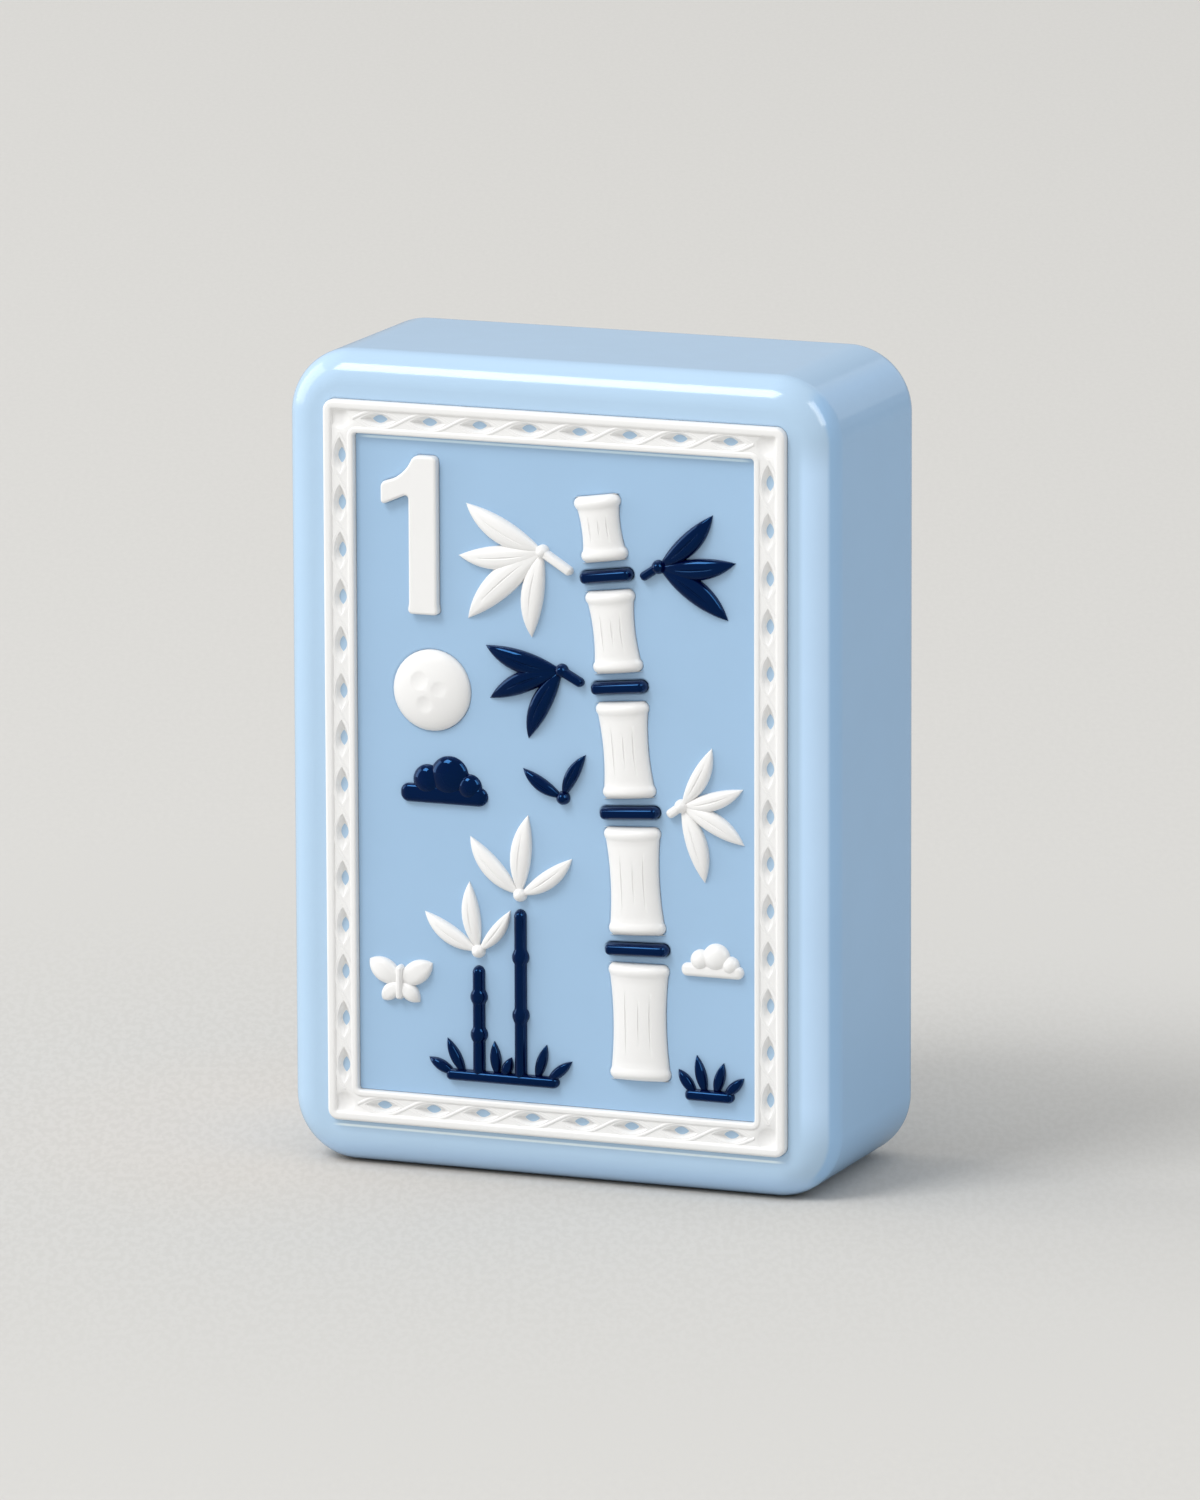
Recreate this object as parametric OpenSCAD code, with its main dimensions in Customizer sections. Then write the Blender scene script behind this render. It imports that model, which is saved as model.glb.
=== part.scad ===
// Upright game tile: a solid moulded body, a lace-like border, the numeral one and a bamboo picture.
// Every coloured piece is an inlay that sits in its own pocket and stands a little proud of the face.
// The tile stands on its bottom edge, centred on the origin, with its face towards -Y.

/* [Tile] */
// Width across the face
tile_w = 21.2; // [20:0.1:24]
// Height as it stands
tile_h = 30; // [28:0.5:36]
// Thickness from the back to the face
tile_t = 9.2; // [7:0.1:16]
// Radius of the four corners of the outline
corner_r = 2.4; // [1.8:0.1:3]
// Radius of the rounded front and back edges
edge_r = 1.2; // [0.6:0.1:1.5]

/* [Inlays] */
// Height of a flat inlay above the face
relief = 0.3; // [0.2:0.05:0.5]
// Extra rise in the middle of a crowned inlay
crown = 0.15; // [0.08:0.01:0.25]
// Depth of the pockets
seat_depth = 0.6; // [0.4:0.05:1.2]
// Clearance all round an inlay in its pocket
moat = 0.08; // [0.04:0.01:0.12]
// Width of the step that eases an inlay's edge
step_w = 0.07; // [0.04:0.01:0.09]
// Height of the step that eases an inlay's edge
step_h = 0.1; // [0.05:0.01:0.15]

/* [Border] */
// Distance from the sides of the tile to the border
margin = 1.7; // [1.6:0.05:2.2]
// Width of the whole border
border_w = 1.18; // [1:0.02:1.3]
// Width of the outer rail
outer_rail_w = 0.36; // [0.3:0.01:0.42]
// Width of the inner rail
inner_rail_w = 0.22; // [0.18:0.01:0.26]
// Radius of the border's outer corners
border_r = 0.4; // [0.3:0.05:0.6]
// How far the lace lies below the rails
lace_drop = 0.08; // [0.03:0.01:0.15]
// Length of one eyelet
eyelet_l = 1.26; // [1:0.02:1.4]
// Width of the lace between an eyelet and the rails
eyelet_web = 0.08; // [0.06:0.01:0.14]
// Least distance from one eyelet to the next
eyelet_pitch = 1.72; // [1.6:0.02:2.2]
// How far the body's floor in an eyelet lies below the face
eyelet_sink = 0.1; // [0.02:0.01:0.3]

/* [Numeral] */
// Height of the numeral
numeral_h = 5.8; // [5:0.1:6.2]
// Width from the flag's tip to the stem's right side
numeral_w = 2.17; // [1.9:0.01:2.4]
// Width of the stem
stem_w = 1.09; // [0.9:0.01:1.2]
// Height of the flag's blunt end
flag_h = 0.87; // [0.6:0.01:1]
// Distance from the numeral's top to the flag's upper corner
flag_drop = 1.01; // [0.8:0.01:1.2]
// Rise of the flag's underside towards the stem
flag_rise = 0.46; // [0.2:0.01:0.6]
// Length of the flat top
numeral_top = 0.91; // [0.7:0.01:1]
// Radius of the hollow curve over the flag
flag_curve_r = 1.45; // [1.2:0.05:2]
// How far the foot flares out on each side
foot_flare = 0.07; // [0.02:0.01:0.12]
// Height of the flared foot
foot_h = 0.4; // [0.2:0.05:0.8]
// Distance from the border's inner side to the flag's tip
numeral_side = 1.06; // [0.6:0.02:1.2]
// Distance from the border's inner side to the numeral's top
numeral_above = 0.68; // [0.5:0.02:1.2]

/* [Picture] */
// Unit of the picture as a share of the room beside the numeral
room_x_share = 0.632; // [0.55:0.001:0.65]
// Unit of the picture as a share of the room below the numeral
room_z_share = 0.44; // [0.38:0.001:0.46]

/* [Cane] */
// Distance from the border's inner side to the cane's foot
cane_below = 1.21; // [0.6:0.01:1.6]
// Distance from the border's inner side to the cane's head
cane_above = 1.63; // [1.2:0.01:2.4]
// Width of the lowest segment's ends, as a share of the picture's unit
cane_low_share = 0.311; // [0.26:0.001:0.33]
// Width of the highest segment's ends, as a share of the picture's unit
cane_top_share = 0.227; // [0.2:0.001:0.26]
// How far the head leans over from the foot, as a share of the picture's unit
cane_lean_share = 0.212; // [0.1:0.001:0.26]
// How far each side of a segment is drawn in at the middle
waist = 0.16; // [0.05:0.01:0.25]
// Height of the rounded lip at each end of a segment
lip_h = 0.5; // [0.3:0.05:0.7]
// Height of a joint ring
ring_h = 0.46; // [0.3:0.02:0.6]
// How far a joint ring reaches past the lips on each side
ring_reach = 0.1; // [0.02:0.01:0.2]
// Gap between a ring and the segments above and below it
ring_gap = 0.3; // [0.24:0.02:0.36]

/* [Leaves] */
// Length of a full leaf, as a share of the picture's unit
leaf_length_share = 0.518; // [0.44:0.002:0.55]
// Width of a full leaf, as a share of the picture's unit
leaf_width_share = 0.137; // [0.1:0.001:0.155]
// Width of the groove along a leaf
vein_w = 0.08; // [0.04:0.01:0.12]
// Depth of the groove along a leaf
vein_depth = 0.06; // [0.02:0.01:0.12]
// Radius of the knot where leaves meet
knot_r = 0.26; // [0.2:0.02:0.34]
// Width of a twig
twig_w = 0.34; // [0.26:0.02:0.4]
// Gap between a twig's end and the cane
twig_gap = 0.3; // [0.24:0.02:0.5]

/* [Ground] */
// Height of the tall young shoot, as a share of the room below the numeral
tall_shoot_share = 0.355; // [0.31:0.005:0.38]
// Height of the short young shoot, as a share of the room below the numeral
short_shoot_share = 0.231; // [0.19:0.001:0.26]
// Width of a shoot's stem
shoot_w = 0.46; // [0.4:0.02:0.56]
// Radius of the swellings on a shoot
shoot_knot_r = 0.33; // [0.29:0.01:0.4]
// Gap between a shoot's tip and the leaves on it
shoot_gap = 0.28; // [0.24:0.02:0.4]
// Width of the ground under the shoots, as a share of the picture's unit
mound_share = 0.57; // [0.52:0.01:0.62]
// Width of the ground under the tuft, as a share of the picture's unit
tuft_share = 0.246; // [0.2:0.002:0.27]
// Thickness of the ground
ground_h = 0.42; // [0.3:0.02:0.5]
// Length of the longest grass blade, as a share of the picture's unit
grass_share = 0.194; // [0.15:0.002:0.23]
// Width of the longest grass blade
grass_w = 0.4; // [0.3:0.02:0.46]

/* [Sky] */
// Radius of the moon, as a share of the picture's unit
moon_share = 0.194; // [0.16:0.002:0.21]
// Width of the dark cloud, as a share of the picture's unit
dark_cloud_share = 0.44; // [0.36:0.01:0.47]
// Width of the pale cloud, as a share of the picture's unit
pale_cloud_share = 0.311; // [0.26:0.001:0.34]
// Length of the butterfly's upper wings, as a share of the picture's unit
wing_length_share = 0.188; // [0.15:0.002:0.21]
// Width of the butterfly's upper wings, as a share of the picture's unit
wing_width_share = 0.111; // [0.08:0.001:0.13]
// Length of the butterfly's body, as a share of the picture's unit
insect_share = 0.168; // [0.13:0.002:0.2]
// Width of the butterfly's body
insect_w = 0.26; // [0.2:0.02:0.34]

/* [Hidden] */
$fn = 128;

// Overrun of every cut
over = 1;
// How far the crowned inlays stand out of the face, which sets the depth of the whole tile
proud = relief + crown;
// Plane of the face
face_y = (proud - tile_t) / 2;

// Half sizes of the flat panel inside the border
panel_x = tile_w / 2 - margin - border_w;
panel_z = tile_h / 2 - margin - border_w;
// Sides of the border's outline
border_x = tile_w - 2 * margin;
border_z = tile_h - 2 * margin;
// Middle line of the lace channel, measured from the border's outer side
channel_mid = (outer_rail_w + border_w - inner_rail_w) / 2;
// Width of one eyelet
eyelet_w = border_w - outer_rail_w - inner_rail_w - 2 * eyelet_web;

// Room on the panel beside the numeral and below it
room_x = 2 * panel_x - numeral_side - numeral_w;
room_z = 2 * panel_z - numeral_above - numeral_h;
// The unit that the picture's motifs are drawn in: it suits both rooms
unit = min(room_x_share * room_x, room_z_share * room_z);

// Colours of the three plastics
blue = "#a9c7e6";
white = "#f1f1ee";
navy = "#04163f";

// Lengths of the five segments, from the lowest, as shares of their sum
segment_shares = [0.25, 0.23, 0.205, 0.175, 0.14];
ring_count = len(segment_shares) - 1;
joint_h = ring_h + 2 * ring_gap;
cane_l = 2 * panel_z - cane_below - cane_above;
segments_l = cane_l - ring_count * joint_h;
cane_low_w = cane_low_share * unit;
cane_top_w = cane_top_share * unit;
cane_bow_r = pow(cane_l, 2) / (2 * cane_lean_share * unit);
leaf_l = leaf_length_share * unit;
leaf_w = leaf_width_share * unit;
shoot_tall = tall_shoot_share * room_z;
shoot_short = short_shoot_share * room_z;
mound_w = mound_share * unit;
tuft_w = tuft_share * unit;
grass_l = grass_share * unit;
moon_r = moon_share * unit;
dark_cloud_w = dark_cloud_share * unit;
pale_cloud_w = pale_cloud_share * unit;
wing_l = wing_length_share * unit;
wing_w = wing_width_share * unit;
insect_l = insect_share * unit;

// The cane's foot, as a share of the panel's half width
cane_foot_share = 0.42;
// Places on the panel, as shares of its half width, and of the room below the numeral from its foot
moon_place_shares = [-0.62, 0.843];
dark_cloud_place_shares = [-0.56, 0.648];
pale_cloud_place_shares = [0.785, 0.321];
fallen_place_shares = [0.04, 0.641];
butterfly_place_shares = [-0.785, 0.232];
mound_place_shares = [-0.27, 0.048];
tuft_place_shares = [0.77, 0.048];
// Feet of the two shoots, as shares of half the ground's width
tall_foot_share = 0.32;
short_foot_share = -0.42;
// Places of the swellings on a shoot, as shares of its height
swelling_shares = [0.38, 0.72];

// Ends of a leaf's groove, as shares of its length
vein_start_share = 0.2;
vein_end_share = 0.8;

// Twigs of the sprays on the cane: ring that each starts at, angle, length as a share of a full leaf
high_left_twig_shares = [3, 148, 0.34];
high_right_twig_shares = [3, 34, 0.2];
low_left_twig_shares = [2, 152, 0.24];
low_right_twig_shares = [1, 36, 0.16];
// Leaves of each spray: angle, length as a share of a full leaf, and how far the leaf curves to its left
high_left_shares = [[152, 0.84, 0.4], [186, 0.82, 0.35], [222, 0.98, -0.3], [262, 0.8, -0.4]];
high_right_shares = [[44, 0.72, -0.4], [6, 0.74, -0.4], [-34, 0.8, 0.35]];
low_left_shares = [[166, 0.76, 0.4], [203, 0.76, -0.3], [243, 0.72, -0.4]];
low_right_shares = [[62, 0.62, -0.4], [18, 0.62, -0.4], [-28, 0.68, 0.35], [-72, 0.72, 0.4]];
tall_shoot_shares = [[36, 0.62, -0.4], [84, 0.74, 0.3], [134, 0.7, 0.4]];
short_shoot_shares = [[52, 0.5, -0.4], [98, 0.64, 0.3], [148, 0.62, 0.4]];
fallen_shares = [[62, 0.46, 0.4], [148, 0.46, 0.35]];
// Wings of the butterfly: angle, and size as a share of a full wing
wing_shares = [[32, 1], [148, 1], [-44, 0.7], [224, 0.7]];
// Grass blades: place along the ground as a share of its half width, angle, length as a share
mound_grass_shares = [[-0.92, 152, 0.8], [-0.74, 118, 1], [-0.1, 96, 0.9], [0.02, 70, 0.56],
  [0.66, 74, 0.95], [0.86, 40, 0.85]];
tuft_grass_shares = [[-0.7, 128, 0.75], [-0.2, 104, 1], [0.3, 76, 0.85], [0.75, 44, 0.7]];
// Lumps of a cloud: place and radius as shares of its width
cloud_shares = [[-0.19, 0.05, 0.165], [0.06, 0.1, 0.22], [0.29, 0.0, 0.14]];
// Height of a cloud's flat base as a share of its width
cloud_base_share = 0.2;

// Radius of the circle whose arc rises by rise over a chord
function arc_radius(chord, rise) = (chord * chord / 4 + rise * rise) / (2 * rise);

// Sum of the first n values
function sum_to(values, n) = n <= 0 ? 0 : values[n - 1] + sum_to(values, n - 1);

// Length along the cane to the foot of segment i, and to the middle of ring i
function segment_start(i) = segments_l * sum_to(segment_shares, i) + i * joint_h;
function ring_middle(i) = segment_start(i + 1) - joint_h / 2;

// Width of the cane's lips at a length along it
function cane_width(s) = cane_low_w + (cane_top_w - cane_low_w) * s / cane_l;

// Angle of the cane at a length along it
function cane_angle(s) = s / cane_bow_r * 180 / PI;

// A point given as shares of the panel's half width and of the room below the numeral
function on_panel(shares) = [shares[0] * panel_x, shares[1] * room_z - panel_z];

// A point on the cane's middle line at a length along it
function cane_point(s) = [cane_foot_share * panel_x, cane_below - panel_z]
  + cane_bow_r * [cos(cane_angle(s)) - 1, sin(cane_angle(s))];

// Turns a drawing on the face upright: its X stays, its Y points up and its Z points out of the face
module on_face() {
  translate([0, face_y, tile_h / 2]) rotate([90, 0, 0]) children();
}

// Rectangle with round corners, centred
module round_rect(w, h, r) {
  square([w - 2 * r, h], center = true);
  square([w, h - 2 * r], center = true);
  for (x = [-1, 1], y = [-1, 1])
    translate([x * (w / 2 - r), y * (h / 2 - r)]) circle(r);
}

// Bar with round ends along X, centred
module bar(l, w) {
  square([l - w, w], center = true);
  for (x = [-1, 1]) translate([x * (l - w) / 2, 0]) circle(w / 2);
}

// Pointed shape between two arcs, from the origin along X
module blade(l, w, bend, grow = 0) {
  left_rise = w / 2 * (1 + bend);
  right_rise = w / 2 * (1 - bend);
  left_r = arc_radius(l, left_rise);
  right_r = arc_radius(l, right_rise);
  intersection() {
    translate([l / 2, left_rise - left_r]) circle(left_r + grow);
    translate([l / 2, right_r - right_rise]) circle(right_r + grow);
  }
}

// The part of an inlay that sits in its pocket
module seated() {
  translate([0, 0, -seat_depth]) linear_extrude(seat_depth) children();
}

// A pocket for an inlay, open at the face
module pocket() {
  translate([0, 0, -seat_depth]) linear_extrude(seat_depth + over) children();
}

// A crown along X over a strip of the given width
module crowned(l, w) {
  crown_r = arc_radius(w, crown);
  intersection() {
    linear_extrude(proud) children();
    translate([-over, 0, proud - crown_r]) rotate([0, 90, 0]) cylinder(h = l + 2 * over, r = crown_r);
  }
}

// Outline of a spray of leaves round its knot
module spray_outline(shares, grow = 0) {
  for (s = shares) rotate(s[0]) blade(leaf_l * s[1], leaf_w * s[1], s[2], grow);
  circle(knot_r + grow);
}

// Groove along the middle of a leaf
module vein(l, middle) {
  vein_r = arc_radius(l, max(abs(middle), vein_w));
  side = middle < 0 ? 1 : 0;
  mirror([0, side]) intersection() {
    translate([l / 2, abs(middle) - vein_r]) difference() {
      circle(vein_r + vein_w / 2);
      circle(vein_r - vein_w / 2);
    }
    translate([vein_start_share * l, -leaf_w])
      square([(vein_end_share - vein_start_share) * l, 2 * leaf_w]);
  }
}

// A flat inlay with eased edges: the second drawing is the first, drawn in by the step
module stepped() {
  seated() children(0);
  linear_extrude(relief - step_h) children(0);
  linear_extrude(relief) children(1);
}

// A spray of leaves round its knot
module spray(shares) {
  difference() {
    stepped() {
      spray_outline(shares);
      spray_outline(shares, -step_w);
    }
    veins(shares);
  }
}

module veins(shares) {
  translate([0, 0, relief - vein_depth]) linear_extrude(vein_depth + over)
    for (s = shares) rotate(s[0]) vein(leaf_l * s[1], leaf_w * s[1] * s[2] / 2);
}

// Body: one block with rounded edges, and a pocket for each inlay
module edge_section(l) {
  round_rect(l, tile_t, edge_r);
}

module corner_section() {
  intersection() {
    edge_section(2 * corner_r);
    translate([0, -tile_t / 2]) square([corner_r, tile_t]);
  }
}

module block() {
  translate([0, 0, tile_h / 2]) {
    linear_extrude(tile_h - 2 * corner_r, center = true) edge_section(tile_w);
    rotate([0, 90, 0]) linear_extrude(tile_w - 2 * corner_r, center = true) edge_section(tile_h);
    for (x = [0, 1], z = [0, 1]) mirror([x, 0, 0]) mirror([0, 0, z])
      translate([tile_w / 2 - corner_r, 0, tile_h / 2 - corner_r])
        rotate([90, 0, 0]) rotate_extrude(angle = 90) corner_section();
  }
}

module body() {
  color(blue) difference() {
    translate([0, proud / 2, 0]) block();
    on_face() {
      border_pocket();
      pocket() numeral_place() numeral_outline(moat);
      for (i = [0 : ring_count]) pocket() segment_place(i) segment_outline(i, moat);
      for (i = [0 : ring_count - 1]) pocket() ring_place(i) ring_outline(i, moat);
      pocket() high_left_place() twigged_outline(high_left_shares, high_left_twig_shares, moat);
      pocket() high_right_place() twigged_outline(high_right_shares, high_right_twig_shares, moat);
      pocket() low_left_place() twigged_outline(low_left_shares, low_left_twig_shares, moat);
      pocket() low_right_place() twigged_outline(low_right_shares, low_right_twig_shares, moat);
      pocket() shoot_leaves_place(tall_foot_share, shoot_tall) spray_outline(tall_shoot_shares, moat);
      pocket() shoot_leaves_place(short_foot_share, shoot_short) spray_outline(short_shoot_shares, moat);
      pocket() mound_place() shoots_outline(moat);
      pocket() tuft_place() grass_outline(tuft_w, tuft_grass_shares, moat);
      pocket() moon_place() circle(moon_r + moat);
      pocket() dark_cloud_place() cloud_outline(dark_cloud_w, moat);
      pocket() pale_cloud_place() cloud_outline(pale_cloud_w, moat);
      pocket() fallen_place() spray_outline(fallen_shares, moat);
      pocket() butterfly_place() butterfly_outline(moat);
    }
  }
}

// Lace border: two rails with a lower band between them, pierced by eyelets
module ring_between(outer_inset, inner_inset, r) {
  difference() {
    round_rect(border_x - 2 * outer_inset, border_z - 2 * outer_inset, r);
    square([border_x - 2 * inner_inset, border_z - 2 * inner_inset], center = true);
  }
}

module border_outline(grow = 0) {
  difference() {
    round_rect(border_x + 2 * grow, border_z + 2 * grow, border_r + grow);
    square([border_x - 2 * (border_w + grow), border_z - 2 * (border_w + grow)], center = true);
  }
}

module eyelet(grow = 0) {
  translate([-eyelet_l / 2, 0]) blade(eyelet_l, eyelet_w, 0, grow);
}

// A row of eyelets along X, spread evenly over a length
module eyelet_row(l, grow = 0) {
  count = floor(l / eyelet_pitch);
  pitch = l / count;
  for (i = [0 : count - 1]) translate([(i + 0.5) * pitch - l / 2, 0]) eyelet(grow);
}

module eyelets(grow = 0) {
  for (y = [-1, 1]) translate([0, y * (border_z / 2 - channel_mid)])
    eyelet_row(border_x - 2 * border_w, grow);
  for (x = [-1, 1]) translate([x * (border_x / 2 - channel_mid), 0]) rotate(90)
    eyelet_row(border_z - 2 * border_w, grow);
}

module border_pocket() {
  difference() {
    pocket() border_outline(moat);
    translate([0, 0, -seat_depth - over]) linear_extrude(seat_depth + over - eyelet_sink) eyelets(-moat);
  }
}

module lace_border() {
  color(white) on_face() difference() {
    union() {
      seated() border_outline();
      linear_extrude(relief - lace_drop) border_outline();
      linear_extrude(relief) ring_between(step_w, outer_rail_w, border_r - step_w);
      linear_extrude(relief) ring_between(border_w - inner_rail_w, border_w - step_w, inner_rail_w);
    }
    translate([0, 0, -seat_depth - over]) linear_extrude(seat_depth + relief + 2 * over) eyelets();
  }
}

// Numeral one: a stem with a flared foot and a flag with a hollow upper side
module numeral_place() {
  translate([-panel_x + numeral_side, panel_z - numeral_above - numeral_h]) children();
}

module numeral_outline(grow = 0) {
  stem_x = numeral_w - stem_w;
  corner = [0, numeral_h - flag_drop];
  top_end = [numeral_w - numeral_top, numeral_h];
  span = top_end - corner;
  reach = sqrt(pow(flag_curve_r, 2) - pow(norm(span) / 2, 2));
  centre = (corner + top_end) / 2 + reach * [-span[1], span[0]] / norm(span);
  difference() {
    union() {
      translate([stem_x - grow, -grow]) square([stem_w + 2 * grow, numeral_h + 2 * grow]);
      polygon([
        [-grow, numeral_h - flag_drop - flag_h - grow],
        [stem_x, numeral_h - flag_drop - flag_h + flag_rise - grow],
        [stem_x, numeral_h + grow],
        [-grow, numeral_h + grow]
      ]);
    }
    translate(centre) circle(flag_curve_r - grow);
  }
  polygon([
    [stem_x - foot_flare - grow, -grow],
    [numeral_w + foot_flare + grow, -grow],
    [numeral_w + grow, foot_h],
    [stem_x - grow, foot_h]
  ]);
}

module numeral_one() {
  color(white) on_face() numeral_place() stepped() {
    numeral_outline();
    numeral_outline(-step_w);
  }
}

// Cane: five segments with lips at their ends, and a ring in each joint
module on_cane(s) {
  translate(cane_point(s)) rotate(cane_angle(s)) children();
}

module segment_place(i) {
  on_cane(segment_start(i) + segments_l * segment_shares[i] / 2) children();
}

module segment_outline(i, grow = 0) {
  l = segments_l * segment_shares[i];
  w = cane_width(segment_start(i) + l / 2);
  side_r = arc_radius(l, waist);
  difference() {
    square([w + 2 * grow, l - lip_h], center = true);
    for (x = [-1, 1]) translate([x * (w / 2 - waist + side_r), 0]) circle(side_r - grow);
  }
  for (y = [-1, 1]) translate([0, y * (l - lip_h) / 2]) bar(w + 2 * grow, lip_h + 2 * grow);
}

module cane_segment(i) {
  l = segments_l * segment_shares[i];
  w = cane_width(segment_start(i) + l / 2);
  color(white) on_face() segment_place(i) {
    seated() segment_outline(i);
    translate([0, -l / 2, 0]) rotate([0, 0, 90]) crowned(l, w) rotate(-90) translate([0, l / 2])
      segment_outline(i);
  }
}

module ring_place(i) {
  on_cane(ring_middle(i)) children();
}

module ring_outline(i, grow = 0) {
  bar(cane_width(ring_middle(i)) + 2 * (ring_reach + grow), ring_h + 2 * grow);
}

module cane_ring(i) {
  w = cane_width(ring_middle(i)) + 2 * ring_reach;
  color(navy) on_face() ring_place(i) {
    seated() ring_outline(i);
    translate([-w / 2, 0, 0]) crowned(w, ring_h) translate([w / 2, 0]) ring_outline(i);
  }
}

// Sprays on the cane: a twig leads from a joint to the knot that the leaves grow from
module knot_place(twig) {
  s = ring_middle(twig[0]);
  side = cos(twig[1]) > 0 ? 1 : -1;
  edge = cane_width(s) / 2 + ring_reach + twig_gap;
  translate(cane_point(s) + [side * edge, 0] + twig[2] * leaf_l * [cos(twig[1]), sin(twig[1])])
    children();
}

module high_left_place() {
  knot_place(high_left_twig_shares) children();
}

module high_right_place() {
  knot_place(high_right_twig_shares) children();
}

module low_left_place() {
  knot_place(low_left_twig_shares) children();
}

module low_right_place() {
  knot_place(low_right_twig_shares) children();
}

// The twig runs back from the knot towards the joint
module twig_outline(twig, grow = 0) {
  l = twig[2] * leaf_l + twig_w / 2;
  rotate(twig[1] + 180) translate([l / 2 - twig_w / 2, 0]) bar(l + 2 * grow, twig_w + 2 * grow);
}

module twigged_outline(shares, twig, grow = 0) {
  spray_outline(shares, grow);
  twig_outline(twig, grow);
}

module twigged_spray(shares, twig) {
  difference() {
    stepped() {
      twigged_outline(shares, twig);
      twigged_outline(shares, twig, -step_w);
    }
    veins(shares);
  }
}

module leaves_high_left() {
  color(white) on_face() high_left_place() twigged_spray(high_left_shares, high_left_twig_shares);
}

module leaves_high_right() {
  color(navy) on_face() high_right_place() twigged_spray(high_right_shares, high_right_twig_shares);
}

module leaves_low_left() {
  color(navy) on_face() low_left_place() twigged_spray(low_left_shares, low_left_twig_shares);
}

module leaves_low_right() {
  color(white) on_face() low_right_place() twigged_spray(low_right_shares, low_right_twig_shares);
}

// Ground: a low bar with grass blades, and two young shoots that grow from the wider one
module mound_place() {
  translate(on_panel(mound_place_shares)) children();
}

module tuft_place() {
  translate(on_panel(tuft_place_shares)) children();
}

module grass_outline(w, shares, grow = 0) {
  bar(w + 2 * grow, ground_h + 2 * grow);
  for (s = shares) translate([s[0] * (w - ground_h) / 2, 0]) rotate(s[1])
    blade(grass_l * s[2], grass_w, 0, grow);
}

module shoot_outline(foot_share, h, grow = 0) {
  translate([foot_share * mound_w / 2, 0]) {
    translate([0, h / 2]) rotate(90) bar(h + 2 * grow, shoot_w + 2 * grow);
    for (s = swelling_shares) translate([0, s * h]) circle(shoot_knot_r + grow);
  }
}

module shoots_outline(grow = 0) {
  grass_outline(mound_w, mound_grass_shares, grow);
  shoot_outline(tall_foot_share, shoot_tall, grow);
  shoot_outline(short_foot_share, shoot_short, grow);
}

module young_shoots() {
  color(navy) on_face() mound_place() stepped() {
    shoots_outline();
    shoots_outline(-step_w);
  }
}

module grass_tuft() {
  color(navy) on_face() tuft_place() stepped() {
    grass_outline(tuft_w, tuft_grass_shares);
    grass_outline(tuft_w, tuft_grass_shares, -step_w);
  }
}

module shoot_leaves_place(foot_share, h) {
  mound_place() translate([foot_share * mound_w / 2, h + shoot_gap + knot_r]) children();
}

module leaves_tall_shoot() {
  color(white) on_face() shoot_leaves_place(tall_foot_share, shoot_tall) spray(tall_shoot_shares);
}

module leaves_short_shoot() {
  color(white) on_face() shoot_leaves_place(short_foot_share, shoot_short) spray(short_shoot_shares);
}

// Sky: a domed moon, two clouds and a few loose leaves
module moon_place() {
  translate(on_panel(moon_place_shares)) children();
}

module moon() {
  dome_r = arc_radius(2 * moon_r, crown);
  color(white) on_face() moon_place() {
    seated() circle(moon_r);
    intersection() {
      cylinder(h = proud, r = moon_r);
      translate([0, 0, proud - dome_r]) sphere(dome_r);
    }
  }
}

module dark_cloud_place() {
  translate(on_panel(dark_cloud_place_shares)) children();
}

module pale_cloud_place() {
  translate(on_panel(pale_cloud_place_shares)) children();
}

module cloud_outline(w, grow = 0) {
  base_h = cloud_base_share * w;
  translate([0, -base_h / 2]) bar(w + 2 * grow, base_h + 2 * grow);
  for (s = cloud_shares) translate([s[0] * w, s[1] * w]) circle(s[2] * w + grow);
}

module cloud(w) {
  stepped() {
    cloud_outline(w);
    cloud_outline(w, -step_w);
  }
}

module dark_cloud() {
  color(navy) on_face() dark_cloud_place() cloud(dark_cloud_w);
}

module pale_cloud() {
  color(white) on_face() pale_cloud_place() cloud(pale_cloud_w);
}

module fallen_place() {
  translate(on_panel(fallen_place_shares)) children();
}

module fallen_leaves() {
  color(navy) on_face() fallen_place() spray(fallen_shares);
}

// Butterfly: four wings on a slim body
module butterfly_place() {
  translate(on_panel(butterfly_place_shares)) children();
}

module butterfly_outline(grow = 0) {
  for (s = wing_shares) rotate(s[0]) blade(wing_l * s[1], wing_w * s[1], 0, grow);
  rotate(90) bar(insect_l + 2 * grow, insect_w + 2 * grow);
}

module butterfly() {
  color(white) on_face() butterfly_place() stepped() {
    butterfly_outline();
    butterfly_outline(-step_w);
  }
}

body();
lace_border();
numeral_one();
cane_segment(0);  // cane_segment_1
cane_segment(1);  // cane_segment_2
cane_segment(2);  // cane_segment_3
cane_segment(3);  // cane_segment_4
cane_segment(4);  // cane_segment_5
cane_ring(0);  // cane_ring_1
cane_ring(1);  // cane_ring_2
cane_ring(2);  // cane_ring_3
cane_ring(3);  // cane_ring_4
leaves_high_left();
leaves_high_right();
leaves_low_left();
leaves_low_right();
leaves_tall_shoot();
leaves_short_shoot();
young_shoots();
grass_tuft();
moon();
dark_cloud();
pale_cloud();
fallen_leaves();
butterfly();
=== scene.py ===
# Upright game tile: a glossy moulded body, a white lace border, the numeral one and a bamboo picture
import math

import bmesh
import bpy
from mathutils import Matrix, Vector


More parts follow.
